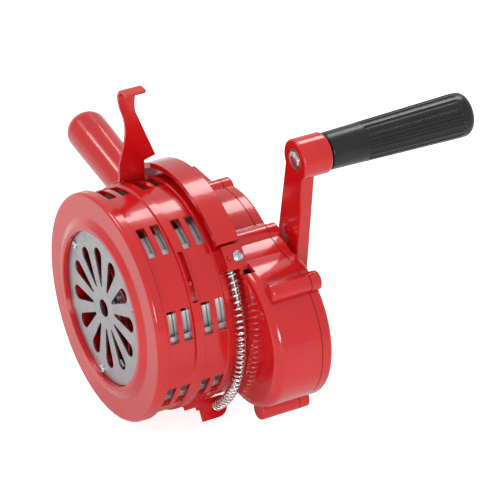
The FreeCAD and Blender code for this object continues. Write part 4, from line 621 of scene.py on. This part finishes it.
@dataclass(frozen=True)
class Camera:
    """Camera at the photograph's place, found from the round parts that the photograph shows."""

    azimuth_deg: float = 60.64
    elevation_deg: float = 30.58
    distance: float = 2.016
    target: tuple[float, float, float] = (0.1179, 0.03515, 0.0919)
    lens_mm: float = 243.6
    sensor_mm: float = 36.0
    farthest: float = 20.0

    def build(self) -> None:
        """Make the camera and make it the scene's own."""
        azimuth, elevation = math.radians(self.azimuth_deg), math.radians(self.elevation_deg)
        back = Vector((math.cos(elevation) * math.sin(azimuth), -math.cos(elevation) * math.cos(azimuth),
                       math.sin(elevation)))
        right = Vector((math.cos(azimuth), math.sin(azimuth), 0.0))
        up = back.cross(right)
        turn = Matrix((right, up, back)).transposed().to_4x4()
        data = bpy.data.cameras.new("camera")
        data.lens = self.lens_mm
        data.sensor_width = self.sensor_mm
        data.clip_end = self.farthest
        camera = bpy.data.objects.new("camera", data)
        camera.matrix_world = Matrix.Translation(Vector(self.target) + back * self.distance) @ turn
        bpy.context.scene.collection.objects.link(camera)
        bpy.context.scene.camera = camera
        log.info("camera: lens %.1f mm", self.lens_mm)


@dataclass(frozen=True)
class Softbox:
    """Square lamp that faces the siren."""

    name: str
    place: tuple[float, float, float]
    size: float
    watts: float
    aim: tuple[float, float, float] = (0.02, 0.04, 0.0)

    def build(self) -> None:
        """Hang the lamp."""
        data = bpy.data.lights.new(self.name, "AREA")
        data.shape = "SQUARE"
        data.size = self.size
        data.energy = self.watts
        lamp = bpy.data.objects.new(self.name, data)
        lamp.location = self.place
        lamp.rotation_euler = (Vector(self.aim) - Vector(self.place)).to_track_quat("-Z", "Y").to_euler()
        bpy.context.scene.collection.objects.link(lamp)
        log.info("%s: %.1f W", self.name, self.watts)


@dataclass(frozen=True)
class Studio:
    """White table, white surroundings and soft lamps."""

    lamps: tuple[Softbox, ...] = (
        Softbox("key_softbox", (-0.9, -0.9, 1.5), size=0.6, watts=10.0),
        Softbox("back_softbox", (-0.85, 0.95, 1.5), size=0.55, watts=6.5),
        Softbox("side_softbox", (1.7, -0.5, 0.5), size=0.45, watts=11.0),
    )
    backdrop: float = 1.0
    surroundings: float = 0.74
    table_half_width: float = 6.0
    table_gap_mm: float = 0.5
    table_colour: str = "F2F2F2"
    table_glow: float = 0.70

    def world(self) -> None:
        """Make surroundings that are white in the picture and softer on the siren."""
        world = bpy.data.worlds.new("white_studio")
        bpy.context.scene.world = world
        world.use_nodes = True
        tree = world.node_tree
        tree.nodes.clear()
        path = add(tree, "ShaderNodeLightPath")
        seen = add(tree, "ShaderNodeBackground", {"Color": linear(WHITE), "Strength": self.backdrop})
        around = add(tree, "ShaderNodeBackground", {"Color": linear(WHITE), "Strength": self.surroundings})
        mixed = add(tree, "ShaderNodeMixShader", {
            0: path.outputs["Is Camera Ray"], 1: around.outputs["Background"],
            2: seen.outputs["Background"]})
        add(tree, "ShaderNodeOutputWorld", {"Surface": mixed.outputs["Shader"]})

    def table(self, height: float) -> None:
        """Lay the white table under the siren.

        Args:
            height: Z of its top.
        """
        mesh = bpy.data.meshes.new("table")
        half = self.table_half_width
        build = bmesh.new()
        corners = [build.verts.new((x * half, y * half, height))
                   for x, y in ((-1, -1), (1, -1), (1, 1), (-1, 1))]
        build.faces.new(corners)
        build.to_mesh(mesh)
        build.free()
        table = bpy.data.objects.new("table", mesh)
        bpy.context.scene.collection.objects.link(table)
        # Pressed laminate is matt and even, and glows for the camera alone so that it meets the backdrop
        material, tree = new_material("white_laminate_pressed")
        path = add(tree, "ShaderNodeLightPath")
        shaded = add(tree, "ShaderNodeBsdfDiffuse", {"Color": linear(self.table_colour)})
        glow = add(tree, "ShaderNodeEmission", {"Color": linear(WHITE), "Strength": self.table_glow})
        both = add(tree, "ShaderNodeAddShader", {0: shaded.outputs["BSDF"], 1: glow.outputs["Emission"]})
        mixed = add(tree, "ShaderNodeMixShader", {
            0: path.outputs["Is Camera Ray"], 1: shaded.outputs["BSDF"], 2: both.outputs["Shader"]})
        add(tree, "ShaderNodeOutputMaterial", {"Surface": mixed.outputs["Shader"]})
        dress(table, material)
        log.info("table: %s", material.name)

    def build(self, foot: float) -> None:
        """Set up the studio.

        Args:
            foot: Z of the siren's lowest point.
        """
        self.world()
        self.table(foot - self.table_gap_mm * MM)
        for lamp in self.lamps:
            lamp.build()
        bpy.context.scene.view_settings.view_transform = "Standard"


def main() -> None:
    """Dress the siren, make the spring's coil, and set up the studio and the camera."""
    logging.basicConfig(level=logging.INFO, format="%(name)s: %(message)s")
    worn = FinishSet().apply()
    ReturnSpring().build(worn["return_spring"])
    Studio().build(cad_box[0][2])
    Camera().build()


if __name__ == "__main__":
    main()
